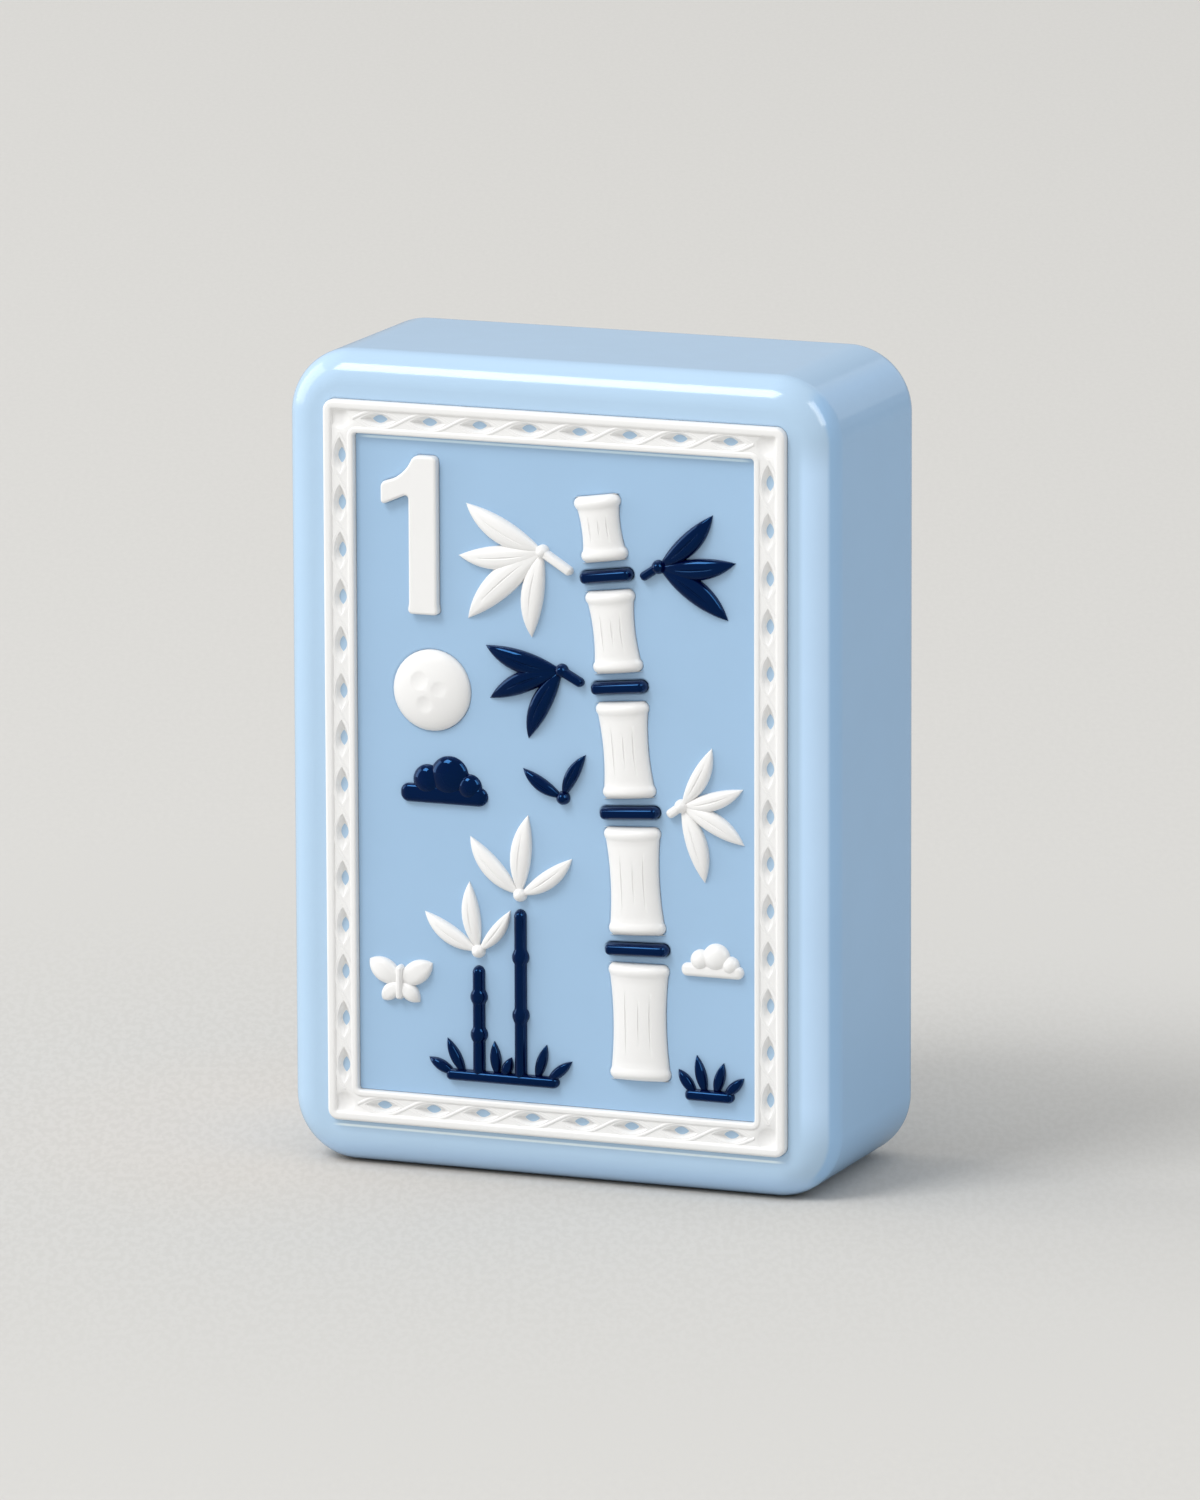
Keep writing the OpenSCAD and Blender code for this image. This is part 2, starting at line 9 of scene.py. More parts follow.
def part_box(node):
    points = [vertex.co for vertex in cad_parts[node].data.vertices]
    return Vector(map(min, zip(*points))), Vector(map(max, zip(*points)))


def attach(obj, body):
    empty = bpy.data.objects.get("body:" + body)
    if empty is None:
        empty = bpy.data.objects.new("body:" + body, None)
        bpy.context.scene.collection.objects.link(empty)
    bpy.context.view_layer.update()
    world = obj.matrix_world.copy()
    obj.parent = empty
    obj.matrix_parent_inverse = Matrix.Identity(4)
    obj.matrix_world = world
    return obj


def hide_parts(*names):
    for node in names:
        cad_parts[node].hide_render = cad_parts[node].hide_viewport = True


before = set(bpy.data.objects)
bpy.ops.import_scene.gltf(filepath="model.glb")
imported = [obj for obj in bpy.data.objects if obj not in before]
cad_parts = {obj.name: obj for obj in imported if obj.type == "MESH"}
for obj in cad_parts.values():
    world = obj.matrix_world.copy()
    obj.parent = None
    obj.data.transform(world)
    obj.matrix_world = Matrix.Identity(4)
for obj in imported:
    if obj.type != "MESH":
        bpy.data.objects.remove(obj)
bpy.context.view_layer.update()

MM = 0.001

# The tile, from its solid, and the rounding of its corners, its edges and the pockets' rims
BODY_LOW, BODY_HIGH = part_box("body")
FACE_Y = BODY_LOW.y
TILE_W = BODY_HIGH.x - BODY_LOW.x
TILE_T = BODY_HIGH.y - BODY_LOW.y
TILE_H = BODY_HIGH.z
TILE_MIDDLE = (BODY_LOW + BODY_HIGH) / 2
CORNER_R = 2.4 * MM
EDGE_R = 1.2 * MM
CORNER_STEPS = 20
EDGE_STEPS = 14
LIP = 0.08 * MM
LIP_STEPS = 3

# Inlays: how deep they sit, how far they stand out and the least size of a point
SEAT = 0.6 * MM
RELIEF = 0.3 * MM
CROWN = 0.15 * MM
HAIR = 0.01 * MM

# Border
BORDER_LOW, BORDER_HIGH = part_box("lace_border")
BORDER_X = BORDER_HIGH.x - BORDER_LOW.x
BORDER_Z = BORDER_HIGH.z - BORDER_LOW.z
BORDER_W = 1.18 * MM
OUTER_RAIL_W = 0.36 * MM
INNER_RAIL_W = 0.25 * MM
OUTER_RAIL_R = 0.4 * MM
INNER_RAIL_R = 0.38 * MM
INNER_RAIL_RISE = 0.27 * MM
RAIL_ROUND = 0.36
RAIL_LAP = 0.05 * MM
BAND_RISE = 0.22 * MM
CHANNEL_MID = (OUTER_RAIL_W + BORDER_W - INNER_RAIL_W) / 2
LACE_PITCH = 1.72 * MM
STRAND_SWING = 0.34 * MM
STRAND_W = 0.3 * MM
STRAND_RISE = 0.24 * MM
STRAND_LIFT = 0.012 * MM
EYELET_L = 1.42 * MM
EYELET_W = 0.5 * MM
EYELET_SINK = 0.03 * MM

# Eyelets, and the blue posts seen in them: at each level its height over the face, and the shares of the
# eyelet's length and width
EYELET_LEVELS = ((-SEAT - EYELET_W, 0.4, 0.56), (-EYELET_SINK, 0.4, 0.56), (0, 0.6, 0.7),
                 (BAND_RISE + HAIR, 1, 1), (BAND_RISE + EYELET_W, 1.15, 1.2))
POST_LEVELS = ((-SEAT - LIP, 0.45, 0.62), (-EYELET_SINK, 0.45, 0.62))

# Round hollows where the sides of the border meet
CORNER_HOLLOW_R = 0.8 * MM
CORNER_HOLLOW = 0.12 * MM

# Panel inside the border
PANEL_X = BORDER_X / 2 - BORDER_W
PANEL_Z = BORDER_Z / 2 - BORDER_W

# Numeral
NUMERAL_LOW, NUMERAL_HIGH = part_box("numeral_one")
NUMERAL_W = 2.17 * MM
NUMERAL_SIDE = 1.06 * MM
NUMERAL_ROUND = 0.2 * MM
NUMERAL_EDGE = 0.11 * MM

# Room beside and below the numeral, and the unit that the picture is drawn in
ROOM_X = 2 * PANEL_X - NUMERAL_SIDE - NUMERAL_W
ROOM_Z = NUMERAL_LOW.z - TILE_H / 2 + PANEL_Z
UNIT = 0.632 * ROOM_X

# Cane
CANE_BELOW = 1.21 * MM
CANE_ABOVE = 1.63 * MM
CANE_L = 2 * PANEL_Z - CANE_BELOW - CANE_ABOVE
CANE_LOW_W = 0.311 * UNIT
CANE_TOP_W = 0.227 * UNIT
CANE_LEAN = 0.212 * UNIT
CANE_BOW_R = CANE_L ** 2 / (2 * CANE_LEAN)
CANE_FOOT_X = 0.42 * PANEL_X
SEGMENT_SHARES = (0.25, 0.23, 0.205, 0.175, 0.14)
WAIST = 0.16 * MM
LIP_H = 0.5 * MM
RING_H = 0.46 * MM
RING_GAP = 0.3 * MM
RING_REACH = 0.1 * MM
JOINT_H = RING_H + 2 * RING_GAP
RING_COUNT = len(SEGMENT_SHARES) - 1
SEGMENTS_L = CANE_L - RING_COUNT * JOINT_H
CANE_RISE = 0.38 * MM
CANE_EDGE_RISE = 0.14 * MM
CANE_LIP_RISE = 0.06 * MM

# Flutes down each segment: share of its half width, and share of its length
FLUTE_W = 0.09 * MM
FLUTES = ((-0.5, 0.8), (-0.08, 0.6), (0.42, 0.9))

# Leaves
LEAF_L = 0.518 * UNIT
LEAF_W = 0.137 * UNIT
LEAF_RISE = 0.36 * MM
LEAF_SWELL = 0.7
VEIN_W = 0.1 * MM
VEIN_FROM = 0.14
VEIN_RUN = 0.68
KNOT_R = 0.26 * MM
TWIG_W = 0.34 * MM
TWIG_GAP = 0.3 * MM

# Sprays on the cane: twig (ring, angle, share of a leaf) and leaves (angle, share of a leaf, bend)
CANE_SPRAYS = {
    "leaves_high_left": ((3, 148, 0.34),
                         ((152, 0.84, 0.4), (186, 0.82, 0.35), (222, 0.98, -0.3), (262, 0.8, -0.4))),
    "leaves_high_right": ((3, 34, 0.2), ((44, 0.72, -0.4), (6, 0.74, -0.4), (-34, 0.8, 0.35))),
    "leaves_low_left": ((2, 152, 0.24), ((166, 0.76, 0.4), (203, 0.76, -0.3), (243, 0.72, -0.4))),
    "leaves_low_right": ((1, 36, 0.16),
                         ((62, 0.62, -0.4), (18, 0.62, -0.4), (-28, 0.68, 0.35), (-72, 0.72, 0.4))),
}
DARK_SPRAYS = ("leaves_high_right", "leaves_low_left")
TALL_SHOOT_LEAVES = ((36, 0.62, -0.4), (84, 0.74, 0.3), (134, 0.7, 0.4))
SHORT_SHOOT_LEAVES = ((52, 0.5, -0.4), (98, 0.64, 0.3), (148, 0.62, 0.4))
FALLEN_LEAVES = ((62, 0.46, 0.4), (148, 0.46, 0.35))

# Ground: shoots with swellings at shares of their height, and low bars with grass
SHOOT_TALL = 0.355 * ROOM_Z
SHOOT_SHORT = 0.231 * ROOM_Z
SHOOT_W = 0.46 * MM
SHOOT_KNOT_R = 0.33 * MM
SHOOT_GAP = 0.28 * MM
SWELLINGS = (0.38, 0.72)
MOUND_W = 0.57 * UNIT
TUFT_W = 0.246 * UNIT
GROUND_H = 0.42 * MM
GRASS_L = 0.194 * UNIT
GRASS_W = 0.4 * MM
TALL_FOOT = 0.32
SHORT_FOOT = -0.42

# Grass on each bar: share of its half width, angle, share of a blade's length
MOUND_GRASS = ((-0.92, 152, 0.8), (-0.74, 118, 1), (-0.1, 96, 0.9), (0.02, 70, 0.56), (0.66, 74, 0.95),
               (0.86, 40, 0.85))
TUFT_GRASS = ((-0.7, 128, 0.75), (-0.2, 104, 1), (0.3, 76, 0.85), (0.75, 44, 0.7))

# Moon, and its hollows: place in shares of its radius, and depth in millimetres
MOON_R = 0.194 * UNIT
MOON_HOLLOW_R = 1.5 * MM
MOON_HOLLOWS = ((-0.3, 0.34, 0.045), (0.36, 0.1, 0.03), (-0.12, -0.4, 0.035))

# Clouds: each lump's place and radius, and the height of the base, in shares of the width
DARK_CLOUD_W = 0.44 * UNIT
PALE_CLOUD_W = 0.311 * UNIT
CLOUD_LUMPS = ((-0.19, 0.05, 0.165), (0.06, 0.1, 0.22), (0.29, 0.0, 0.14))
CLOUD_BASE = 0.2

# Butterfly: each wing's angle and share of a wing's size
WING_L = 0.188 * UNIT
WING_W = 0.111 * UNIT
INSECT_L = 0.168 * UNIT
INSECT_W = 0.26 * MM
WINGS = ((32, 1), (148, 1), (-44, 0.7), (224, 0.7))

# Places on the panel: shares of its half width and of the room below the numeral
PLACES = {
    "moon": (-0.62, 0.843),
    "dark_cloud": (-0.56, 0.648),
    "pale_cloud": (0.785, 0.321),
    "fallen_leaves": (0.04, 0.641),
    "butterfly": (-0.785, 0.232),
    "mound": (-0.27, 0.048),
    "tuft": (0.77, 0.048),
}

# Nodes with smooth outlines, whose pockets get rounded rims
SMOOTH_NODES = (["numeral_one", "moon"] + [f"cane_segment_{i + 1}" for i in range(len(SEGMENT_SHARES))]
                + [f"cane_ring_{i + 1}" for i in range(RING_COUNT)])

# Painted light and shade on the body beside the panel: painted light on the margins, top and bottom, a
# painted highlight down the right edge, and painted shade that makes the right side bluer
MARGIN_PAINTED_LIGHT = (1.25, 1.15, 1.07)
SIDE_PAINTED_SHADE = (0.95, 1.02, 1.08)
EDGE_PAINTED_HIGHLIGHT = (1.21, 1.2, 1.22)
TOP_PAINTED_LIGHT = (1.07, 1.05, 1.03)
LOW_PAINTED_LIGHT = (1.09, 1.12, 1.19)

# Painted highlights: fine pale lines on the pockets' rims, under the border and under its upper inner rail
BORDER_RIM = 0.22 * MM
PANEL_RIM = 0.12 * MM
RIM_W = 0.11 * MM
RIM_PAINTED_HIGHLIGHT = (1.85, 1.55, 1.28)

# Floor: its grain round the tile, a painted warmer light round the tile's left end, and a painted shadow in
# the narrow gap under the front edge
GRAIN_TINT = (0.93, 0.928, 0.924)
GRAIN_REACH = 60 * MM
NEAR_PAINTED_WARM_LIGHT = (1.035, 1.0, 0.975)
NEAR_REACH = 13 * MM
GAP_PAINTED_SHADOW = (0.68, 0.64, 0.6)

# Camera's way round the tile, which the floor's grain follows too
CAMERA_TURN = math.radians(21.7039)

# Room: how bright it is, and how much of that shows in the gloss
ROOM_LIGHT = 0.742
REFLECTED_SHARE = 0.6

# Span of a noise that its colours and values are spread over
NOISE_SPAN = (0.3, 0.7)

# Fineness of the meshes, and the rounding of a strip's section
RING = 24
CANE_RING_SIDES = 40
STRAND_SIDES = 16
STRAND_STEPS = 10
TOOL_SIDES = 8
LEAF_STEPS = 18
PILLOW_ROUND = 0.7


# Editing

def only(piece):
    """Selects one piece and nothing else"""
    bpy.ops.object.select_all(action="DESELECT")
    piece.select_set(True)
    bpy.context.view_layer.objects.active = piece


def edit(piece, kind="FACE"):
    only(piece)
    bpy.ops.object.mode_set(mode="EDIT")
    bpy.ops.mesh.select_mode(type=kind)


def finish_edit():
    bpy.ops.object.mode_set(mode="OBJECT")


def pick(piece, kind, test):
    """Selects the faces, edges or verts of a piece in edit mode that pass a test"""
    bpy.ops.mesh.select_all(action="DESELECT")
    shape = bmesh.from_edit_mesh(piece.data)
    shape.normal_update()
    for part in getattr(shape, kind):
        if test(part):
            part.select_set(True)
    shape.select_flush_mode()
    bmesh.update_edit_mesh(piece.data)


def outwards():
    bpy.ops.mesh.select_all(action="SELECT")
    bpy.ops.mesh.normals_make_consistent(inside=False)


def round_off(radius, steps, what):
    """Rounds the selected edges or corners"""
    bpy.ops.mesh.bevel(offset=radius, segments=steps, profile=0.5, affect=what, clamp_overlap=False)


def settle(piece):
    """Moves the object's place and turn into its mesh"""
    only(piece)
    bpy.ops.object.transform_apply(location=True, rotation=True, scale=True)


def cut(piece, tool, operation):
    """Cuts or crops a piece by another one, which is used up"""
    only(piece)
    step = piece.modifiers.new(operation.lower(), "BOOLEAN")
    step.operation = operation
    step.object = tool
    step.solver = "EXACT"
    bpy.ops.object.modifier_apply(modifier=step.name)
    bpy.data.objects.remove(tool)


def joined(name, parts):
    """One piece from several closed shells that run into each other"""
    bpy.ops.object.select_all(action="DESELECT")
    for part in parts:
        part.select_set(True)
    bpy.context.view_layer.objects.active = parts[0]
    bpy.ops.object.join()
    parts[0].name = name
    return parts[0]


def smooth(piece, angle):
    """Soft shading with the flats kept flat"""
    only(piece)
    bpy.ops.object.shade_smooth_by_angle(angle=math.radians(angle))
    step = piece.modifiers.new("flats", "WEIGHTED_NORMAL")
    step.keep_sharp = True
    bpy.ops.object.modifier_apply(modifier=step.name)


def soft(piece, angle=50):
    only(piece)
    bpy.ops.object.shade_smooth_by_angle(angle=math.radians(angle))
    return piece


# Drawing on the face: u runs right and v up from the middle, and -Y is out of the face

def on_face(piece, u, v, angle=0):
    piece.rotation_euler = (0, -math.radians(angle), 0)
    piece.location = (u, FACE_Y, TILE_H / 2 + v)
    settle(piece)
    return piece


def place(name):
    across, up = PLACES[name]
    return across * PANEL_X, up * ROOM_Z - PANEL_Z


def arc_radius(chord, rise):
    return (chord * chord / 4 + rise * rise) / (2 * rise)


def arc_height(x, chord, rise):
    """Height over a chord of the arc that rises by rise in the middle"""
    radius = arc_radius(chord, abs(rise))
    height = math.sqrt(radius ** 2 - (x - chord / 2) ** 2) - (radius - abs(rise))
    return math.copysign(height, rise)


def round_section(ring):
    """A disc across X, left in edit mode"""
    bpy.ops.object.select_all(action="DESELECT")
    bpy.ops.mesh.primitive_circle_add(vertices=ring, radius=1, fill_type="NGON", rotation=(0, math.pi / 2, 0))
    piece = bpy.context.object
    settle(piece)
    edit(piece)
    bpy.ops.mesh.select_all(action="SELECT")
    return piece


def pillow_section():
    """A square across X with well rounded corners, left in edit mode"""
    bpy.ops.object.select_all(action="DESELECT")
    bpy.ops.mesh.primitive_plane_add(size=2, rotation=(0, math.pi / 2, 0))
    piece = bpy.context.object
    settle(piece)
    edit(piece, "VERT")
    bpy.ops.mesh.select_all(action="SELECT")
    round_off(PILLOW_ROUND, 7, "VERTICES")
    bpy.ops.mesh.select_mode(type="FACE")
    bpy.ops.mesh.select_all(action="SELECT")
    return piece


def strip(stations, seated=True, ring=0):
    """A strip along X, round if it has a ring

    Each station has its place, side shift, half width, rise and level.
    """
    piece = round_section(ring) if ring else pillow_section()
    x, side, half, rise, level = stations[0]
    bpy.ops.transform.resize(value=(1, rise, half), center_override=(0, 0, 0))
    bpy.ops.transform.translate(value=(x, -level, side))
    for station in stations[1:]:
        x1, side1, half1, rise1, level1 = station
        bpy.ops.mesh.extrude_region_move(
            TRANSFORM_OT_translate={"value": (x1 - x, level - level1, side1 - side)})
        bpy.ops.transform.resize(value=(1, rise1 / rise, half1 / half), center_override=(x1, -level1, side1))
        x, side, half, rise, level = station
    outwards()
    if seated:
        pick(piece, "verts", lambda v: v.co.y > HAIR / 10)
        bpy.ops.transform.resize(value=(1, 0, 1), center_override=(0, SEAT, 0))
        outwards()
    finish_edit()
    return piece


def blade(length, width, bend, rise):
    """A pointed leaf between two arcs"""
    left = width / 2 * (1 + bend)
    right = width / 2 * (1 - bend)
    stations = []
    for i in range(LEAF_STEPS + 1):
        x = length * (1 - math.cos(math.pi * i / LEAF_STEPS)) / 2
        upper = arc_height(x, length, left)
        lower = -arc_height(x, length, right)
        half = max((upper - lower) / 2, HAIR)
        swell = (2 * half / width) ** LEAF_SWELL
        stations.append((x, (upper + lower) / 2, half, rise * swell, 0))
    return strip(stations)


def vein(length, width, bend, rise):
    """A thin round tool that follows a leaf's crest"""
    stations = []
    for i in range(LEAF_STEPS + 1):
        x = length * (VEIN_FROM + VEIN_RUN * i / LEAF_STEPS)
        upper = arc_height(x, length, width / 2 * (1 + bend))
        lower = -arc_height(x, length, width / 2 * (1 - bend))
        swell = ((upper - lower) / width) ** LEAF_SWELL
        thin = max(math.sin(math.pi * i / LEAF_STEPS), 0.1) * VEIN_W / 2
        stations.append((x, (upper + lower) / 2, thin, thin, rise * swell + VEIN_W * 0.15))
    return strip(stations, seated=False, ring=TOOL_SIDES)


def round_bar(length, width, rise):
    """A bar with round ends along X, centred"""
    stations = []
    for i in range(9):
        turn = math.pi / 2 * i / 8
        stations.append((-length / 2 + width / 2 * (1 - math.cos(turn)), math.sin(turn)))
    stations += [(-x, share) for x, share in reversed(stations)]
    return strip([(x, 0, max(share * width / 2, HAIR), max(share * rise, HAIR), 0) for x, share in stations])


def dome(radius, rise):
    """A low round dome that sits on the pocket's floor"""
    bpy.ops.object.select_all(action="DESELECT")
    bpy.ops.mesh.primitive_uv_sphere_add(segments=40, ring_count=20, radius=radius,
                                         rotation=(math.pi / 2, 0, 0))
    piece = bpy.context.object
    settle(piece)
    edit(piece)
    bpy.ops.mesh.select_all(action="SELECT")
    bpy.ops.transform.resize(value=(1, rise / radius, 1))
    pick(piece, "verts", lambda v: v.co.y > HAIR / 10)
    bpy.ops.transform.resize(value=(1, 0, 1), center_override=(0, SEAT, 0))
    finish_edit()
    return piece


def hollow(piece, u, v, rise, depth, radius):
    """Presses a shallow round hollow into a piece"""
    bpy.ops.object.select_all(action="DESELECT")
    bpy.ops.mesh.primitive_uv_sphere_add(segments=96, ring_count=96, radius=radius)
    ball = bpy.context.object
    ball.location.y = depth - rise - radius
    settle(ball)
    cut(piece, on_face(ball, u, v), "DIFFERENCE")


# Body

def floor_faces(node):
    """A copy of the flat faces at the pockets' depth of a solid, left in edit mode"""
    copy = bpy.data.objects.new(node + "_floor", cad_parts[node].data.copy())
    bpy.context.scene.collection.objects.link(copy)
    edit(copy)
    bpy.ops.mesh.select_all(action="SELECT")
    bpy.ops.mesh.remove_doubles(threshold=HAIR / 10)
    level = FACE_Y + SEAT
    pick(copy, "faces", lambda f: abs(f.normal.y) < 0.99 or abs(f.calc_center_median().y - level) > HAIR)
    bpy.ops.mesh.delete(type="FACE")
    bpy.ops.mesh.select_all(action="SELECT")
    bpy.ops.mesh.dissolve_limited(angle_limit=math.radians(0.5))
    if node == "numeral_one":
        bpy.ops.mesh.select_mode(type="VERT")
        pick(copy, "verts", is_corner)
        round_off(NUMERAL_ROUND, 5, "VERTICES")
        bpy.ops.mesh.select_mode(type="FACE")
    return copy


def is_corner(vert):
    """A place where an outline turns sharply"""
    first, second = (edge.other_vert(vert).co - vert.co for edge in vert.link_edges)
    return math.pi - first.angle(second) > 0.4


def raise_tool(tool):
    """Raises a pocket's floor, in edit mode and all selected, past the face"""
    bpy.ops.mesh.extrude_region_move(TRANSFORM_OT_translate={"value": (0, -SEAT - EDGE_R, 0)})
    outwards()
    finish_edit()
    return tool


def raise_lipped_tool(tool, spread=1):
    """Raises a pocket's floor past the face, widened or narrowed at the face for a rounded rim"""
    turns = [math.pi / 2 * k / LIP_STEPS for k in range(LIP_STEPS + 1)]
    depths = [LIP * (1 - math.sin(turn)) for turn in turns]
    for step in [SEAT - LIP] + [low - high for low, high in zip(depths, depths[1:])] + [EDGE_R]:
        bpy.ops.mesh.extrude_region_move(TRANSFORM_OT_translate={"value": (0, -step, 0)})
    outwards()
    for k in range(1, LIP_STEPS + 1):
        level = FACE_Y + depths[k] + HAIR / 10
        pick(tool, "faces", lambda f: abs(f.normal.y) < 0.5 and all(v.co.y < level for v in f.verts))
        step = LIP * (math.cos(turns[k - 1]) - math.cos(turns[k]))
        bpy.ops.transform.shrink_fatten(value=spread * step, use_even_offset=True)
    finish_edit()
    return tool


def picture_tool(lipped):
    """The pockets of the numeral and the picture as one solid: the smooth ones with rims, or the others"""
    floors = []
    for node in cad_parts:
        if node not in ("body", "lace_border") and (node in SMOOTH_NODES) == lipped:
            floors.append(floor_faces(node))
            finish_edit()
    tool = joined("pockets", floors)
    edit(tool)
    bpy.ops.mesh.select_all(action="SELECT")
    return raise_lipped_tool(tool) if lipped else raise_tool(tool)


def round_plate(half_x, half_z, corner):
    """A flat plate with round corners at the pockets' depth, left in edit mode"""
    bpy.ops.object.select_all(action="DESELECT")
    bpy.ops.mesh.primitive_plane_add(size=1, rotation=(math.pi / 2, 0, 0),
                                     location=(0, FACE_Y + SEAT, TILE_H / 2))
    piece = bpy.context.object
    piece.scale = (2 * half_x, 2 * half_z, 1)
    settle(piece)
    edit(piece, "VERT")
    bpy.ops.mesh.select_all(action="SELECT")
    round_off(corner, 8, "VERTICES")
    bpy.ops.mesh.select_mode(type="FACE")
    bpy.ops.mesh.select_all(action="SELECT")
    return piece


def border_tool():
    """The border's pocket: a plate's block less the panel's block, which is narrower at the face"""
    tool = raise_lipped_tool(round_plate(BORDER_X / 2, BORDER_Z / 2, OUTER_RAIL_R))
    panel = raise_lipped_tool(round_plate(PANEL_X, PANEL_Z, INNER_RAIL_R - INNER_RAIL_W), -1)
    edit(panel)
    for sign in (1, -1):
        pick(panel, "faces", lambda f: f.normal.y * sign > 0.9)
        bpy.ops.transform.translate(value=(0, sign * LIP, 0))
    finish_edit()
    cut(tool, panel, "DIFFERENCE")
    return tool


def is_pocket_rim(edge):
    """An edge between the flat face and a pocket"""
    inside = all(abs(v.co.x) < BORDER_X / 2 + 2 * LIP and abs(v.co.z - TILE_H / 2) < BORDER_Z / 2 + 2 * LIP
                 for v in edge.verts)
    front = [f.normal.y < -0.99 and abs(f.calc_center_median().y - FACE_Y) < HAIR for f in edge.link_faces]
    return inside and sorted(front) == [False, True]


def tile_body():
    bpy.ops.object.select_all(action="DESELECT")
    bpy.ops.mesh.primitive_cube_add(size=1, location=TILE_MIDDLE, scale=(TILE_W, TILE_T, TILE_H))
    body = bpy.context.object
    body.name = "tile_body"
    settle(body)
    edit(body, "EDGE")
    pick(body, "edges", lambda e: abs((e.verts[0].co - e.verts[1].co).y) > TILE_T / 2)
    round_off(CORNER_R, CORNER_STEPS, "EDGES")
    pick(body, "edges", lambda e: abs((e.verts[0].co - e.verts[1].co).y) < HAIR)
    round_off(EDGE_R, EDGE_STEPS, "EDGES")
    finish_edit()
    for tool in (border_tool(), picture_tool(True), picture_tool(False)):
        cut(body, tool, "DIFFERENCE")
    edit(body, "EDGE")
    pick(body, "edges", is_pocket_rim)
    bpy.ops.mesh.mark_sharp()
    finish_edit()
    smooth(body, 40)
    posts = along_sides(lambda length: eyelet_row(length, POST_LEVELS))
    return joined("tile_body", [body] + [soft(post) for post in posts])


# Lace border

def band():
    """The flat plate between the rails"""
    bpy.ops.object.select_all(action="DESELECT")
    bpy.ops.mesh.primitive_plane_add(size=1, rotation=(math.pi / 2, 0, 0))
    piece = bpy.context.object
    piece.scale = (BORDER_X - OUTER_RAIL_W, BORDER_Z - OUTER_RAIL_W, 1)
    settle(piece)
    edit(piece)
    bpy.ops.mesh.select_all(action="SELECT")
    inset = BORDER_W - (OUTER_RAIL_W + INNER_RAIL_W) / 2 + RAIL_LAP
    bpy.ops.mesh.inset(thickness=inset, use_even_offset=True)
    bpy.ops.mesh.delete(type="FACE")
    bpy.ops.mesh.select_all(action="SELECT")
    bpy.ops.transform.translate(value=(0, SEAT, 0))
    bpy.ops.mesh.extrude_region_move(TRANSFORM_OT_translate={"value": (0, -SEAT - BAND_RISE, 0)})
    outwards()
    finish_edit()
    return on_face(piece, 0, 0)


def rail(half_x, half_z, corner, width, rise):
    """A rounded rail swept round the frame: its outer half sizes and corner radius, its width and rise"""
    bpy.ops.object.select_all(action="DESELECT")
    bpy.ops.mesh.primitive_plane_add(size=1, rotation=(0, math.pi / 2, 0))
    piece = bpy.context.object
    piece.scale = (width, SEAT + rise, 1)
    piece.location = (0, (SEAT - rise) / 2, half_z - width / 2)
    settle(piece)
    edit(piece, "VERT")
    pick(piece, "verts", lambda v: v.co.y < 0)
    round_off(width * RAIL_ROUND, 6, "VERTICES")
    bpy.ops.mesh.select_mode(type="FACE")
    bpy.ops.mesh.select_all(action="SELECT")
    run_x, run_z = half_x - corner, half_z - corner
    bpy.ops.mesh.extrude_region_move(TRANSFORM_OT_translate={"value": (run_x, 0, 0)})
    for step, middle in (((0, 0, -2 * run_z), (run_x, 0, run_z)), ((-2 * run_x, 0, 0), (run_x, 0, -run_z)),
                         ((0, 0, 2 * run_z), (-run_x, 0, -run_z)), ((run_x, 0, 0), (-run_x, 0, run_z))):
        bpy.ops.mesh.spin(steps=8, angle=-math.pi / 2, center=middle, axis=(0, 1, 0))
        bpy.ops.mesh.extrude_region_move(TRANSFORM_OT_translate={"value": step})
    pick(piece, "faces", lambda f: abs(f.normal.x) > 0.9 and len(f.verts) > 4)
    bpy.ops.mesh.delete(type="FACE")
    bpy.ops.mesh.select_all(action="SELECT")
    bpy.ops.mesh.remove_doubles(threshold=HAIR / 10)
    outwards()
    finish_edit()
    return on_face(piece, 0, 0)


def is_top_rim(edge, level):
    """An edge at a level between a top face and a side face"""
    if len(edge.link_faces) != 2 or any(abs(v.co.y - level) > HAIR / 4 for v in edge.verts):
        return False
    flat = [f.normal.y < -0.9 for f in edge.link_faces]
    return flat[0] != flat[1]


def lace_cells(length):
    return math.floor(length / LACE_PITCH)


def strand(length, phase):
    """A wavy strand along X, which lies over its partner at every other crossing"""
    steps = lace_cells(length) * STRAND_STEPS
    stations = []
    for i in range(steps + 1):
        turn = math.pi * i / STRAND_STEPS
        swing = phase * STRAND_SWING * math.sin(turn)
        rise = STRAND_RISE + phase * STRAND_LIFT * math.cos(turn)
        stations.append((i * length / steps - length / 2, swing, STRAND_W / 2, rise, 0))
    return strip(stations, ring=STRAND_SIDES)


